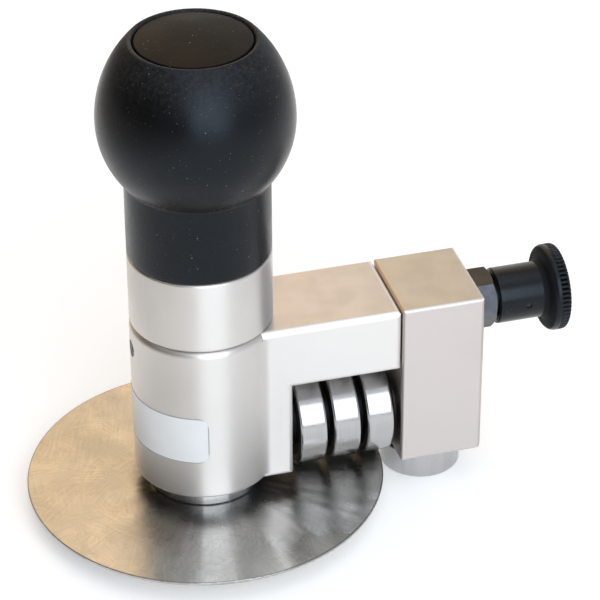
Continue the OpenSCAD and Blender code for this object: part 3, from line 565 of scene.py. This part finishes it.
def satin_aluminium(name, look, tint=WHITE, top_mm=None, top_shade_tint=WHITE, foot_mm=None):
    """Turned aluminium: reflections drawn out upright, slow changes of tone and roughness, few hair lines.

    A milled top face, at the height top_mm, is smoother and has soft dabs of tone, and its tint is painted
    shade: darker than the sides, and yellower on the block as a painted warm reflection.
    An underside at the height foot_mm is darkened to near black as painted shade.
    """
    made = Finish(name, metallic=1.0, anisotropic=0.85)
    tree = made.tree
    upright = (0.0, 0.05, 1.0)
    underside_shade_colour = (0.03, 0.03, 0.03)
    made.draw_out(upright)
    cloud = made.effect(soft_blotches, scale=45.0)
    hair = made.effect(hair_scratches, scale=70.0)
    base = tinted(look.aluminium, tint)
    toned = mixed(tree, times(tree, cloud, 0.5), base, scaled(base, 0.95))
    mean = look.aluminium_roughness
    rough = spread(tree, cloud, 0.0, 1.0, mean - 0.02, mean + 0.02)
    height = made.coordinate("Z")
    if foot_mm is not None:
        # Painted shade: the underside over the disc is darkened to near black.
        darkened = spread(tree, height, (foot_mm + 0.05) * MM, (foot_mm + 0.3) * MM, 0.9, 0.0)
        toned = mixed(tree, darkened, toned, underside_shade_colour)
    if top_mm is not None:
        milled = spread(tree, height, (top_mm - 0.25) * MM, (top_mm - 0.02) * MM)
        dabs = made.effect(soft_blotches, scale=130.0)
        # The top's tint is painted shade, with a painted warm reflection where it is yellower; the dabs are
        # random tone.
        shaded_top = tinted(base, top_shade_tint)
        dabbed = mixed(tree, dabs, scaled(shaded_top, 0.95), scaled(shaded_top, 1.05))
        toned = mixed(tree, milled, toned, dabbed)
        rough = calc(tree, "ADD", rough, times(tree, milled, look.milled_roughness - mean))
    made.feed("Base Color", toned)
    made.feed("Roughness", calc(tree, "SUBTRACT", rough, times(tree, hair, 0.05)))
    return made.material


def sanded_steel(look):
    """Disc: reflections drawn out from the middle as on spun sanding, strokes in its tone, and faint rays.

    The rays come from a ripple of the face, as high as the distance from the axis times a noise of direction.
    A ring round the hub is darkened as painted shade, and a thin line just inside the rim as a painted dark
    reflection of the rim's edge.
    """
    made = Finish("sanded disc steel", metallic=1.0, anisotropic=0.6)
    tree = made.tree
    strokes = made.effect(sanding_strokes, scale=80.0)
    cloud = made.effect(soft_blotches, scale=90.0)
    flat = vector_calc(tree, "MULTIPLY", made.place, (1.0, 1.0, 0.0))
    made.draw_out(vector_calc(tree, "NORMALIZE", flat))
    away = vector_calc(tree, "LENGTH", flat)
    base = look.disc
    marked = mixed(tree, strokes, scaled(base, 0.76), scaled(base, 1.08))
    clouded = mixed(tree, times(tree, cloud, 0.4), marked, scaled(base, 0.88))

    def ring(rise, fall, depth):
        """Share of a ring that sets in over one pair of radii, in metres, and ends over the other."""
        return times(tree, spread(tree, away, *rise), spread(tree, away, *fall, depth, 0.0))

    rim = DISC_HIGH[0] * MM
    # Painted shade on the disc round the hub, and a painted dark reflection in a thin line just inside the
    # rim.
    hub_shade_ring = ring((0.0135, 0.016), (0.0165, 0.023), 0.7)
    rim_reflection_line = ring((rim - 0.00045, rim - 0.0003), (rim - 0.0001, rim), 0.5)
    dark = calc(tree, "MAXIMUM", hub_shade_ring, rim_reflection_line)
    made.feed("Base Color", mixed(tree, dark, clouded, scaled(base, 0.16)))
    made.feed("Roughness", spread(tree, cloud, 0.0, 1.0, 0.26, 0.33))
    made.relief(made.effect(spun_rays, scale=5.0), 0.012)
    return made.material


def ground_steel(name, colour, stretch, scale, roughness, depth, round_x=None):
    """Steel ground or turned in one direction: streaks in tone, roughness and relief.

    With round_x, the (y, z, r) of an axis along X and a radius in millimetres, what is inside r is dark:
    painted shade on the side faces, as in the gaps between the rollers.
    """
    made = Finish(name, metallic=1.0)
    tree = made.tree
    streaks = made.effect(fine_streaks, stretch=stretch, scale=scale)
    cloud = made.effect(soft_blotches, scale=120.0)
    dark = scaled(colour, 0.8)
    toned = mixed(tree, times(tree, streaks, 0.3), colour, dark)
    toned = mixed(tree, times(tree, cloud, 0.2), toned, dark)
    rough = spread(tree, streaks, 0.0, 1.0, roughness * 0.85, roughness * 1.15)
    if round_x is not None:
        y, z, radius = round_x
        flat = vector_calc(tree, "MULTIPLY", made.place, (0.0, 1.0, 1.0))
        away = vector_calc(tree, "DISTANCE", flat, (0.0, y * MM, z * MM))
        # Painted shade: the side faces inside r are made nearly black.
        side = spread(tree, away, (radius - 0.2) * MM, (radius + 0.2) * MM, 1.0, 0.0)
        toned = mixed(tree, side, toned, scaled(colour, 0.1))
        rough = calc(tree, "ADD", rough, times(tree, side, 0.3))
    made.feed("Base Color", toned)
    made.feed("Roughness", rough)
    made.relief(streaks, depth)
    return made.material


def blackened_steel(name, colour, roughness):
    """Blackened steel: a cloudy oxide skin with small bright rubs."""
    made = Finish(name, metallic=1.0)
    tree = made.tree
    bright = (0.2, 0.2, 0.21)
    cloud = made.effect(soft_blotches, scale=260.0)
    rubs = made.effect(dust_specks, scale=1500.0, share=0.12, size=0.3)
    toned = mixed(tree, times(tree, cloud, 0.5), colour, scaled(colour, 0.72))
    made.feed("Base Color", mixed(tree, times(tree, rubs, 0.3), toned, bright))
    made.feed("Roughness", spread(tree, cloud, 0.0, 1.0, roughness - 0.03, roughness + 0.04))
    made.relief(cloud, 0.000003)
    return made.material


def bearing_bronze(look):
    """Plain bearing bronze: pores and slow colour change."""
    made = Finish("bearing bronze", metallic=1.0)
    tree = made.tree
    pore = (0.06, 0.04, 0.03)
    cloud = made.effect(soft_blotches, scale=200.0)
    pores = made.effect(dust_specks, scale=1400.0, share=0.5, size=0.4)
    toned = mixed(tree, cloud, look.bronze, scaled(look.bronze, 0.75))
    made.feed("Base Color", mixed(tree, times(tree, pores, 0.6), toned, pore))
    made.feed("Roughness", spread(tree, cloud, 0.0, 1.0, 0.3, 0.48))
    made.relief(pores, -0.00002)
    return made.material


def dark_moulding(
    name, colour, roughness, speck_colour, speck_share, grain_depth,
    shine=0.2, dusty=None, tint=WHITE, corner=None
):
    """Dark moulded plastic or rubber: a fine grain, dust specks, hair scratches and a cloudy sheen.

    With dusty, a pair of heights in millimetres, specks and a thin film of dust thicken from low to high.
    With corner, a pair of places along X in millimetres, the stretch between them is dull.
    """
    made = Finish(name, metallic=0.0, specular_ior_level=shine, specular_tint=tint)
    tree = made.tree
    cloud = made.effect(soft_blotches, scale=60.0)
    grain = made.effect(soft_blotches, scale=2600.0)
    share = speck_share
    toned = mixed(tree, cloud, colour, scaled(colour, 0.8))
    uneven = spread(tree, cloud, 0.0, 1.0, roughness - 0.04, roughness + 0.05)
    if dusty is not None:
        film = spread(tree, made.coordinate("Z"), dusty[0] * MM, dusty[1] * MM)
        share = calc(tree, "ADD", times(tree, film, speck_share * 2), speck_share)
        flecks = made.effect(soft_blotches, scale=900.0)
        patchy = times(tree, film, spread(tree, flecks, 0.0, 1.0, 0.005, 0.035))
        toned = mixed(tree, patchy, toned, speck_colour)
        uneven = calc(tree, "ADD", uneven, times(tree, calc(tree, "POWER", film, 2.0), 0.25))
    if corner is not None:
        along = made.coordinate("X")
        soft_end = 0.4
        after = spread(tree, along, (corner[0] - soft_end) * MM, corner[0] * MM)
        before = spread(tree, along, corner[1] * MM, (corner[1] + soft_end) * MM, 0.45, 0.0)
        uneven = calc(tree, "ADD", uneven, times(tree, after, before))
    specks = made.effect(dust_specks, scale=620.0, share=speck_share * 3, size=0.15)
    motes = made.effect(dust_specks, scale=1500.0, share=share, size=0.24)
    hair = made.effect(hair_scratches, scale=110.0)
    dust = calc(tree, "MAXIMUM", specks, times(tree, motes, 0.6))
    marks = calc(tree, "MAXIMUM", dust, times(tree, hair, 0.06))
    made.feed("Base Color", mixed(tree, times(tree, marks, 0.55), toned, speck_colour))
    made.feed("Roughness", calc(tree, "ADD", uneven, times(tree, marks, 0.15), clamp=True))
    made.relief(grain, grain_depth)
    return made.material


def cage_plastic():
    """Brown moulded cage of the bearings: flecks of filler in its colour."""
    made = Finish("moulded cage", metallic=0.0)
    tree = made.tree
    flecks = made.effect(soft_blotches, scale=900.0)
    made.feed("Base Color", mixed(tree, flecks, srgb(140, 100, 62), srgb(110, 78, 48)))
    made.feed("Roughness", spread(tree, flecks, 0.0, 1.0, 0.4, 0.55))
    return made.material


def label_film(look):
    """Label film: a pale face with a thin dark line at its edge, from the label's own edge distance."""
    made = Finish("label film", metallic=0.0, coat_weight=0.2, coat_roughness=0.25)
    tree = made.tree
    edge = add_node(tree, "ShaderNodeAttribute", attribute_name="edge_mm").outputs["Fac"]
    ruled = spread(tree, edge, 0.2, 0.4, 1.0, 0.0)
    cloud = made.effect(soft_blotches, scale=120.0)
    face = mixed(tree, times(tree, cloud, 0.5), look.colour, scaled(look.colour, 0.93))
    made.feed("Base Color", mixed(tree, times(tree, ruled, 0.6), face, look.outline))
    made.feed("Roughness", spread(tree, cloud, 0.0, 1.0, 0.32, 0.45))
    return made.material


def dress(material, *nodes):
    """Puts a material in every slot of these CAD nodes."""
    for name in nodes:
        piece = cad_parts[name]
        for slot in piece.material_slots:
            slot.material = material


def finish_piece(piece, material, body, slot, *stands_for):
    """Gives a new piece its material and its body, and hides the CAD nodes that it stands for. Its slot is
    not used.
    """
    piece.data.materials.append(material)
    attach(piece, body)
    if stands_for:
        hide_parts(*stands_for)


def grip_profile(look):
    """Closed section of the grip: neck, hollow crease, ball, crown arc, rolled lip, seat of the cap, bore.

    The crease is a circle tangent to the neck's line and to the ball's circle.
    The crown is a circle level with the ball's side at its middle, and it holds the lip's circle from inside.
    """
    bottom, rim_h = GRIP_LOW[2], GRIP_HIGH[2]
    ball_r = GRIP_HIGH[0]
    ball_h = bottom + look.ball_height
    neck, crease = look.neck_radius, look.crease_radius
    edge, bore, lip, seat = 0.9, 13.0, 0.9, 2.4
    crease_h = ball_h - math.sqrt((ball_r + crease) ** 2 - (neck + crease) ** 2)
    meet = math.degrees(math.atan2(ball_h - crease_h, -(neck + crease)))
    lip_r, lip_h = look.rim_radius + lip, rim_h - lip
    inward, rise = ball_r - lip_r, lip_h - ball_h
    crown = (inward ** 2 + rise ** 2 - lip ** 2) / (2 * (inward - lip))
    top = math.degrees(math.atan2(rise, lip_r - ball_r + crown))
    return joined(
        line((bore, bottom), (neck - edge, bottom), 4),
        arc(neck - edge, bottom + edge, edge, -90, 0, 8),
        line((neck, bottom + edge), (neck, crease_h), 14),
        arc(neck + crease, crease_h, crease, 180, meet, 8),
        arc(0, ball_h, ball_r, meet - 180, 0, 40),
        arc(ball_r - crown, ball_h, crown, 0, top, 44),
        arc(lip_r, lip_h, lip, top, 180, 10),
        line((look.rim_radius, lip_h), (look.rim_radius, rim_h - seat), 4),
        line((look.rim_radius, rim_h - seat), (bore, rim_h - seat), 4),
        line((bore, rim_h - seat), (bore, bottom), 6)[:-1],
    )


def cap_profile():
    """Section of the cap from its underside to its top: plug, side, rolled edge and a shallow dome."""
    radius, top = CAP_HIGH[0], CAP_HIGH[2]
    under = GRIP_HIGH[2] - 2.2
    side = GRIP_HIGH[2] - 0.25
    edge = 0.55
    dome = top - side
    dome_r = (radius ** 2 + dome ** 2) / (2 * dome)
    tilt = math.degrees(math.asin((radius - edge) / dome_r))
    shoulder = top - dome_r + dome_r * math.cos(math.radians(tilt))
    return joined(
        [[0.0, under]],
        line((2.0, under), (radius - 0.1, under), 4),
        line((radius, under + 0.1), (radius, shoulder - edge), 4),
        arc(radius - edge, shoulder - edge, edge, 0, 90 - tilt, 8),
        arc(0, top - dome_r, dome_r, 90 - tilt, 89.6, 30),
        [[0.0, top]],
    )


def knob_profile(look):
    """Section of the knob from the end of its cavity, over the sleeve and the flange, to its back.

    The flange's rim is round in front, straight, and round at the back. The fluting starts half way along it.
    """
    x0, x1 = KNOB_LOW[0], KNOB_HIGH[0]
    flange_r = KNOB_HIGH[1]
    sleeve_r, cavity_r, edge, blend = look.sleeve_radius, look.sleeve_radius - 1.65, 0.5, 1.5
    cavity_x = x0 + 5.6
    neck_x = x0 + look.sleeve_length
    face_x = neck_x + blend
    front, back = 2.0, 1.2
    pin_x = (PIN_LOW[0] + PIN_HIGH[0]) / 2
    by_pin, run_in = 1.2, 0.4
    flute_x = face_x + 0.42 * (x1 - face_x)
    profile = joined(
        [[0.0, cavity_x]],
        line((1.0, cavity_x), (cavity_r, cavity_x), 3),
        line((cavity_r, cavity_x), (cavity_r, x0 + 0.2), 4),
        line((cavity_r + 0.2, x0), (sleeve_r - edge, x0), 3),
        arc(sleeve_r - edge, x0 + edge, edge, -90, 0, 8),
        line((sleeve_r, x0 + edge), (sleeve_r, pin_x - by_pin), 6),
        line((sleeve_r, pin_x - by_pin), (sleeve_r, pin_x + by_pin), 17),
        line((sleeve_r, pin_x + by_pin), (sleeve_r, neck_x), 4),
        arc(sleeve_r + blend, neck_x, blend, 180, 90, 9),
        line((sleeve_r + blend, face_x), (flange_r - front, face_x), 4),
        arc(flange_r - front, face_x + front, front, -90, 0, 14),
        line((flange_r, face_x + front), (flange_r, flute_x), 4),
        line((flange_r, flute_x), (flange_r, flute_x + run_in), 7),
        line((flange_r, flute_x + run_in), (flange_r, x1 - back), 6),
        arc(flange_r - back, x1 - back, back, 0, 90, 10),
        line((flange_r - back, x1), (1.0, x1), 6),
        [[0.0, x1]],
    )
    along, out = profile[:, 1], profile[:, 0]
    started = np.clip((along - flute_x) / run_in, 0.0, 1.0)
    outermost = np.clip((out - flange_r + back) / (0.7 * back), 0.0, 1.0)
    return profile, started * outermost, pin_x


def knob_relief(look, profile, share, pin_x, turn):
    """Depth to take from the knob's radius: flutes of depth (1 - cos(n a))^2 / 4, and two dimples."""
    dimple_r, dimple_edge, dimple_depth = 0.8, 0.15, 0.55
    flute = (0.5 - 0.5 * np.cos(look.flutes * turn)) ** 2
    depth = look.flute_depth * share[:, None] * flute[None, :]
    on_sleeve = np.abs(profile[:, 0] - look.sleeve_radius) < 0.01
    side = np.minimum(np.abs(turn - np.pi), np.minimum(turn, 2 * np.pi - turn)) * look.sleeve_radius
    away = np.hypot(profile[:, 1][:, None] - pin_x, side[None, :])
    dimple = np.clip((dimple_r - away) / dimple_edge, 0.0, 1.0) * dimple_depth
    return depth + dimple * on_sleeve[:, None]


def label_surface(look, name):
    """Thin film on the column: angle and height on a grid, with the ends' corners cut to a quarter circle.

    Height runs between two edges that draw in near an end by r - sqrt(r^2 - (r - s)^2), s from the end.
    The section is a closed loop, out over the face and back under it, and thins to nothing at both ends.
    """
    across, along = 40, 120
    film, tucked_end, sunk = 0.09, -0.04, 0.05
    base = BODY_HIGH[1]
    share = np.concatenate([[0.0], np.linspace(0.0, 1.0, along), [1.0]])
    angle = look.start + (look.end - look.start) * share
    arc_mm = (look.end - look.start) * base
    from_end = np.minimum(share, 1.0 - share) * arc_mm
    inside = np.clip(look.corner - from_end, 0.0, look.corner)
    inset = look.corner - np.sqrt(look.corner ** 2 - inside ** 2)
    low, high = look.low + inset, look.high - inset
    step = np.linspace(0.0, 1.0, across)
    rise = low[:, None] + (high - low)[:, None] * step[None, :]
    height = np.hstack([rise, rise[:, ::-1]])
    thick = np.full(len(share), film)
    thick[[0, -1]] = tucked_end
    face = np.repeat((base + thick)[:, None], across, axis=1)
    under = np.full_like(face, base - sunk)
    radius = np.hstack([face, under])
    points = np.stack(
        [radius * np.cos(angle)[:, None], radius * np.sin(angle)[:, None], height], axis=-1
    )
    quads = strip_quads(len(share), 2 * across, False)[:, ::-1]
    piece = new_mesh(name, points.reshape(-1, 3), quads, np.zeros((0, 3), dtype=int), 50)
    to_edge = np.minimum(rise - low[:, None], high[:, None] - rise)
    to_end = np.repeat(from_end[:, None], across, axis=1)
    rounding = np.repeat(inset[:, None], across, axis=1)
    distance = np.minimum(to_edge + 0.4 * rounding, to_end)
    both = np.hstack([distance, distance[:, ::-1]]).astype(np.float32)
    store = piece.data.attributes.new("edge_mm", "FLOAT", "POINT")
    store.data.foreach_set("value", both.ravel())
    return piece


class BENDER_OT_body(bpy.types.Operator):
    """Gives the column, the arm, the end block and the collar their machined aluminium."""

    bl_idname = "bender.body"
    bl_label = "Body and block"

    def execute(self, context):
        look = context.scene.bender_metal
        # The top tints paint shade on the milled tops.
        body = satin_aluminium(
            "satin body", look, top_mm=BODY_HIGH[2], top_shade_tint=(0.80, 0.775, 0.77), foot_mm=BODY_LOW[2]
        )
        dress(body, "main_body")
        dress(satin_aluminium("turned collar", look), "collar")
        pink = (0.81, 0.77, 0.76)
        block = satin_aluminium(
            "brushed block", look, tint=pink, top_mm=BLOCK_HIGH[2], top_shade_tint=(0.865, 0.875, 0.83)
        )
        dress(block, "end_block")
        return {"FINISHED"}


class BENDER_OT_disc(bpy.types.Operator):
    """Gives the guide disc, its hub and the screws their steel."""

    bl_idname = "bender.disc"
    bl_label = "Disc and hub"

    def execute(self, context):
        look = context.scene.bender_metal
        dress(sanded_steel(look), "base_disc")
        bright, round_z = (0.93, 0.93, 0.94), (0.05, 0.05, 5.0)
        hub = ground_steel("turned hub", bright, round_z, scale=400.0, roughness=0.14, depth=0.0000005)
        dress(hub, "spindle")
        screws = blackened_steel("black screws", (0.06, 0.06, 0.065), roughness=0.35)
        dress(screws, "disc_screws", "spindle_dog_screw")
        return {"FINISHED"}


class BENDER_OT_bearings(bpy.types.Operator):
    """Gives the rollers, their axle and the small fittings on it their finishes."""

    bl_idname = "bender.bearings"
    bl_label = "Roller bearings"

    def execute(self, context):
        look = context.scene.bender_metal
        low, high = node_edges("roller_1_outer_ring")
        middle = (low + high) / 2
        # Inside this radius the rings' side faces get painted shade.
        land = (middle[1], middle[2], (high[2] - low[2]) / 2 - 0.6)
        along = (6.0, 0.05, 0.05)
        rings = ground_steel(
            "polished bearing rings", look.bearing, along,
            scale=300.0, roughness=0.2, depth=0.0000004, round_x=land
        )
        seals = dark_moulding(
            "bearing seals", srgb(14, 14, 15), roughness=0.6, speck_colour=srgb(50, 50, 52),
            speck_share=0.1, grain_depth=0.00001, shine=0.15
        )
        cage = cage_plastic()
        for index in (1, 2, 3):
            dress(rings, *(f"roller_{index}_{part}" for part in ("outer_ring", "inner_ring", "balls")))
            dress(seals, f"roller_{index}_seals")
            dress(cage, f"roller_{index}_cage")
        axle = ground_steel("ground axle", look.bearing, along, scale=300.0, roughness=0.25, depth=0.000001)
        dress(axle, "roller_axle", "axle_end_washer", "index_bush", "plunger_pin")
        dress(axle, "handle_post", "post_washer", "post_nut")
        screws = blackened_steel("black set screws", (0.05, 0.05, 0.055), roughness=0.32)
        dress(screws, "axle_set_screw", "axle_end_screw", "axle_spacers", "post_set_screw")
        dress(screws, "edge_roller_screw", "knob_cross_pin")
        bronze = bearing_bronze(look)
        dress(bronze, "spindle_bush_lower", "spindle_bush_upper", "edge_roller_bush", "edge_washer")
        dress(bronze, "swivel_bush_lower", "swivel_bush_upper")
        dress(seals, "grip_washer")
        darkened = blackened_steel("oiled flange bush", (0.09, 0.075, 0.06), roughness=0.4)
        dress(darkened, "block_bush")
        return {"FINISHED"}


class BENDER_OT_edge_roller(bpy.types.Operator):
    """Gives the edge roller its turned steel."""

    bl_idname = "bender.edge_roller"
    bl_label = "Edge roller"

    def execute(self, context):
        look = context.scene.bender_metal
        upright = (1.0, 1.0, 0.03)
        steel = ground_steel(
            "turned edge roller", look.bearing, upright, scale=500.0, roughness=0.24, depth=0.000003
        )
        dress(steel, "edge_roller")
        return {"FINISHED"}


class BENDER_OT_plunger(bpy.types.Operator):
    """Makes the fluted knob and the return spring, and gives the plunger's guide its blackened steel."""

    bl_idname = "bender.plunger"
    bl_label = "Plunger and knob"

    def execute(self, context):
        look = context.scene.bender_knob
        metal = context.scene.bender_metal
        blackened = blackened_steel("blackened plunger", metal.blackened, roughness=0.23)
        dress(blackened, "plunger_guide", "plunger_spring_seat")
        profile, share, pin_x = knob_profile(look)
        steps = look.flutes * 10
        turn = 2 * np.pi * np.arange(steps) / steps
        ripple = knob_relief(look, profile, share, pin_x, turn)
        low, high = KNOB_LOW, KNOB_HIGH
        axis = ((low[1] + high[1]) / 2, (low[2] + high[2]) / 2)
        neck_x = low[0] + look.sleeve_length
        corner = (neck_x, neck_x + 2.0)
        knob = turned("knob", profile, steps, along_x=axis, ripple=ripple, smooth_angle=32)
        moulding = dark_moulding(
            "moulded knob", look.colour, roughness=0.28, speck_colour=srgb(120, 122, 126), speck_share=0.1,
            grain_depth=0.000003, shine=0.33, tint=(0.75, 0.87, 1.0), corner=corner
        )
        finish_piece(knob, moulding, "plunger", "knob_plastic", "plunger_knob")
        low, high = node_edges("plunger_spring")
        spring = coiled("return_spring", low, high, look.spring_wire, look.spring_turns)
        even = (1.0, 1.0, 1.0)
        wire = ground_steel("spring wire", metal.bearing, even, scale=300.0, roughness=0.3, depth=0.000001)
        spring.data.materials.append(wire)
        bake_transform(spring)
        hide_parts("plunger_spring")
        return {"FINISHED"}


class BENDER_OT_grip(bpy.types.Operator):
    """Makes the ball grip and the cap in its top."""

    bl_idname = "bender.grip"
    bl_label = "Grip and cap"

    def execute(self, context):
        look = context.scene.bender_grip
        dusty = (GRIP_HIGH[2] - 14.0, GRIP_HIGH[2] - 1.0)
        soft = dark_moulding(
            "soft grip", look.colour, look.roughness, look.speck_colour, speck_share=0.2,
            grain_depth=0.000012, shine=0.3, dusty=dusty, tint=(0.7, 0.84, 1.0)
        )
        grip = turned("grip", grip_profile(look), 256, closed=True)
        finish_piece(grip, soft, "grip", "grip_rubber", "handle_grip")
        hard = dark_moulding(
            "hard cap", look.colour, roughness=0.4, speck_colour=look.speck_colour, speck_share=0.16,
            grain_depth=0.000006, shine=0.08
        )
        cap = turned("grip_cap", cap_profile(), 192)
        finish_piece(cap, hard, "grip", "grip_rubber", "handle_cap")
        return {"FINISHED"}


class BENDER_OT_label(bpy.types.Operator):
    """Makes the plain label on the column."""

    bl_idname = "bender.label"
    bl_label = "Label"

    def execute(self, context):
        look = context.scene.bender_label
        film = label_surface(look, "label")
        finish_piece(film, label_film(look), "frame", "body_aluminium")
        return {"FINISHED"}


def camera_axes(look):
    """Right, up and back directions of the camera from its azimuth, elevation and roll."""
    az, el, roll = look.azimuth, look.elevation, look.roll
    back = Vector((math.sin(az) * math.cos(el), -math.cos(az) * math.cos(el), math.sin(el)))
    side = Vector((math.cos(az), math.sin(az), 0.0))
    up = back.cross(side)
    right = side * math.cos(roll) + up * math.sin(roll)
    return right, up * math.cos(roll) - side * math.sin(roll), back


def set_camera(scene, look):
    """Camera at the fitted viewing angle."""
    data = bpy.data.cameras.new("camera")
    data.lens = look.lens
    data.sensor_width = 36.0
    data.clip_start = 0.01
    camera = bpy.data.objects.new("camera", data)
    scene.collection.objects.link(camera)
    right, up, back = camera_axes(look)
    place = Vector(look.target) + back * look.distance
    axes = Matrix((right, up, back)).transposed().to_4x4()
    camera.matrix_world = Matrix.Translation(place) @ axes
    scene.camera = camera


def soft_lamp(scene, name, place, aim, width, height, power, colour):
    """Rectangular lamp at a place, turned to a point."""
    data = bpy.data.lights.new(name, "AREA")
    data.shape = "RECTANGLE"
    data.size = width
    data.size_y = height
    data.energy = power
    data.color = colour
    lamp = bpy.data.objects.new(name, data)
    scene.collection.objects.link(lamp)
    lamp.location = place
    lamp.rotation_euler = (Vector(aim) - Vector(place)).to_track_quat("-Z", "Y").to_euler()


def set_world(scene):
    """Room light by direction: soft patches over a neutral grey, each from one cosine to another.

    They are cool at the right, dim at the left, bright above the front, bright low down behind at the right,
    and warm high up behind.
    """
    patches = (
        ((0.95, -0.25, 0.2), 0.1, 0.9, (0.56, 0.59, 0.63)),
        ((-0.9, 0.4, 0.1), 0.05, 0.75, (0.09, 0.075, 0.06)),
        ((0.15, -0.6, 0.78), 0.65, 0.92, (0.8, 0.83, 0.88)),
        ((0.45, 0.88, 0.05), 0.86, 0.97, (1.4, 1.44, 1.5)),
        ((-0.07, 0.816, 0.574), 0.82, 0.985, (1.58, 1.16, 0.71)),
    )
    world = bpy.data.worlds.new("room")
    scene.world = world
    world.use_nodes = True
    tree = world.node_tree
    tree.nodes.clear()
    toward = add_node(tree, "ShaderNodeTexCoord").outputs["Generated"]
    light = (0.26, 0.265, 0.28)
    for direction, start, full, colour in patches:
        aimed = vector_calc(tree, "DOT_PRODUCT", toward, direction)
        light = mixed(tree, spread(tree, aimed, start, full), light, colour)
    shader = add_node(tree, "ShaderNodeBackground", {"Color": light, "Strength": 1.0})
    output = tree.nodes.new("ShaderNodeOutputWorld")
    tree.links.new(shader.outputs[0], output.inputs[0])


def set_floor(look):
    """Pale floor just under the lowest piece, raised to white near the object, with painted shade that
    darkens it far off at the left.
    """
    leftward, far_shade_tone = (-0.963, 0.269, 0.0), (0.62, 0.58, 0.54)
    half, height, cells = 4000.0, EDGE_LOW[2] - 0.03, 8
    share = np.linspace(-half, half, cells + 1)
    x, y = np.meshgrid(share, share, indexing="ij")
    points = np.stack([x, y, np.full_like(x, height)], axis=-1).reshape(-1, 3)
    row, column = np.meshgrid(np.arange(cells), np.arange(cells), indexing="ij")
    start = (row * (cells + 1) + column).ravel()
    quads = np.column_stack([start, start + cells + 1, start + cells + 2, start + 1])
    floor = new_mesh("floor", points, quads, np.zeros((0, 3), dtype=int), 30)
    made = Finish("pale floor", roughness=0.9, specular_ior_level=0.1, emission_strength=look.floor_lift)
    tree = made.tree
    cloud = made.effect(soft_blotches, scale=3.0)
    pale = mixed(tree, cloud, look.floor, scaled(look.floor, 0.98))
    # Painted shade: the floor darkens far off at the left, for a dim left side in reflections.
    far = spread(tree, vector_calc(tree, "DOT_PRODUCT", made.place, leftward), 0.13, 0.42)
    made.feed("Base Color", mixed(tree, far, pale, far_shade_tone))
    ray = tree.nodes.new("ShaderNodeLightPath").outputs
    seen = calc(tree, "MAXIMUM", ray["Is Camera Ray"], ray["Is Glossy Ray"])
    seen = calc(tree, "MAXIMUM", seen, ray["Is Transmission Ray"])
    close = spread(tree, vector_calc(tree, "LENGTH", made.place), 0.25, 0.7, 1.0, 0.0)
    near = times(tree, close, calc(tree, "SUBTRACT", 1.0, far))
    made.feed("Emission Color", mixed(tree, times(tree, seen, near), (0.0, 0.0, 0.0), WHITE))
    floor.data.materials.append(made.material)


class BENDER_OT_stage(bpy.types.Operator):
    """Sets the floor, the light and the camera."""

    bl_idname = "bender.stage"
    bl_label = "Stage"

    def execute(self, context):
        scene = context.scene
        look = scene.bender_stage
        scene.view_settings.view_transform = "Standard"
        set_world(scene)
        set_floor(look)
        aim = (0.03, 0.0, 0.06)
        soft_lamp(
            scene, "front lamp", (0.09, -1.16, 0.62), aim,
            width=1.0, height=1.1, power=9.2, colour=(0.83, 0.905, 0.975)
        )
        soft_lamp(
            scene, "top lamp", (-0.1, 0.1, 1.4), aim,
            width=1.6, height=1.6, power=6.0, colour=(1.0, 0.97, 0.93)
        )
        set_camera(scene, look)
        return {"FINISHED"}


class BENDER_PT_pieces(bpy.types.Panel):
    """Lists the operators in the sidebar."""

    bl_idname = "BENDER_PT_pieces"
    bl_label = "Edge bender"
    bl_space_type = "VIEW_3D"
    bl_region_type = "UI"
    bl_category = "Bender"

    def draw(self, context):
        for operator in OPERATORS:
            self.layout.operator(operator.bl_idname)


LOOKS = {
    "bender_grip": GripLook,
    "bender_knob": KnobLook,
    "bender_metal": MetalLook,
    "bender_label": LabelLook,
    "bender_stage": StageLook,
}
OPERATORS = (
    BENDER_OT_body,
    BENDER_OT_disc,
    BENDER_OT_bearings,
    BENDER_OT_edge_roller,
    BENDER_OT_plunger,
    BENDER_OT_grip,
    BENDER_OT_label,
    BENDER_OT_stage,
)
CLASSES = (*LOOKS.values(), *OPERATORS, BENDER_PT_pieces)


def register():
    """Registers the classes, and gives every scene its looks."""
    for made in CLASSES:
        bpy.utils.register_class(made)
    for name, group in LOOKS.items():
        setattr(bpy.types.Scene, name, PointerProperty(type=group))


def unregister():
    """Takes the looks and the classes away again."""
    for name in LOOKS:
        delattr(bpy.types.Scene, name)
    for made in reversed(CLASSES):
        bpy.utils.unregister_class(made)


def main():
    register()
    bpy.ops.bender.body()
    bpy.ops.bender.disc()
    bpy.ops.bender.bearings()
    bpy.ops.bender.edge_roller()
    bpy.ops.bender.plunger()
    bpy.ops.bender.grip()
    bpy.ops.bender.label()
    bpy.ops.bender.stage()


if __name__ == "__main__":
    main()
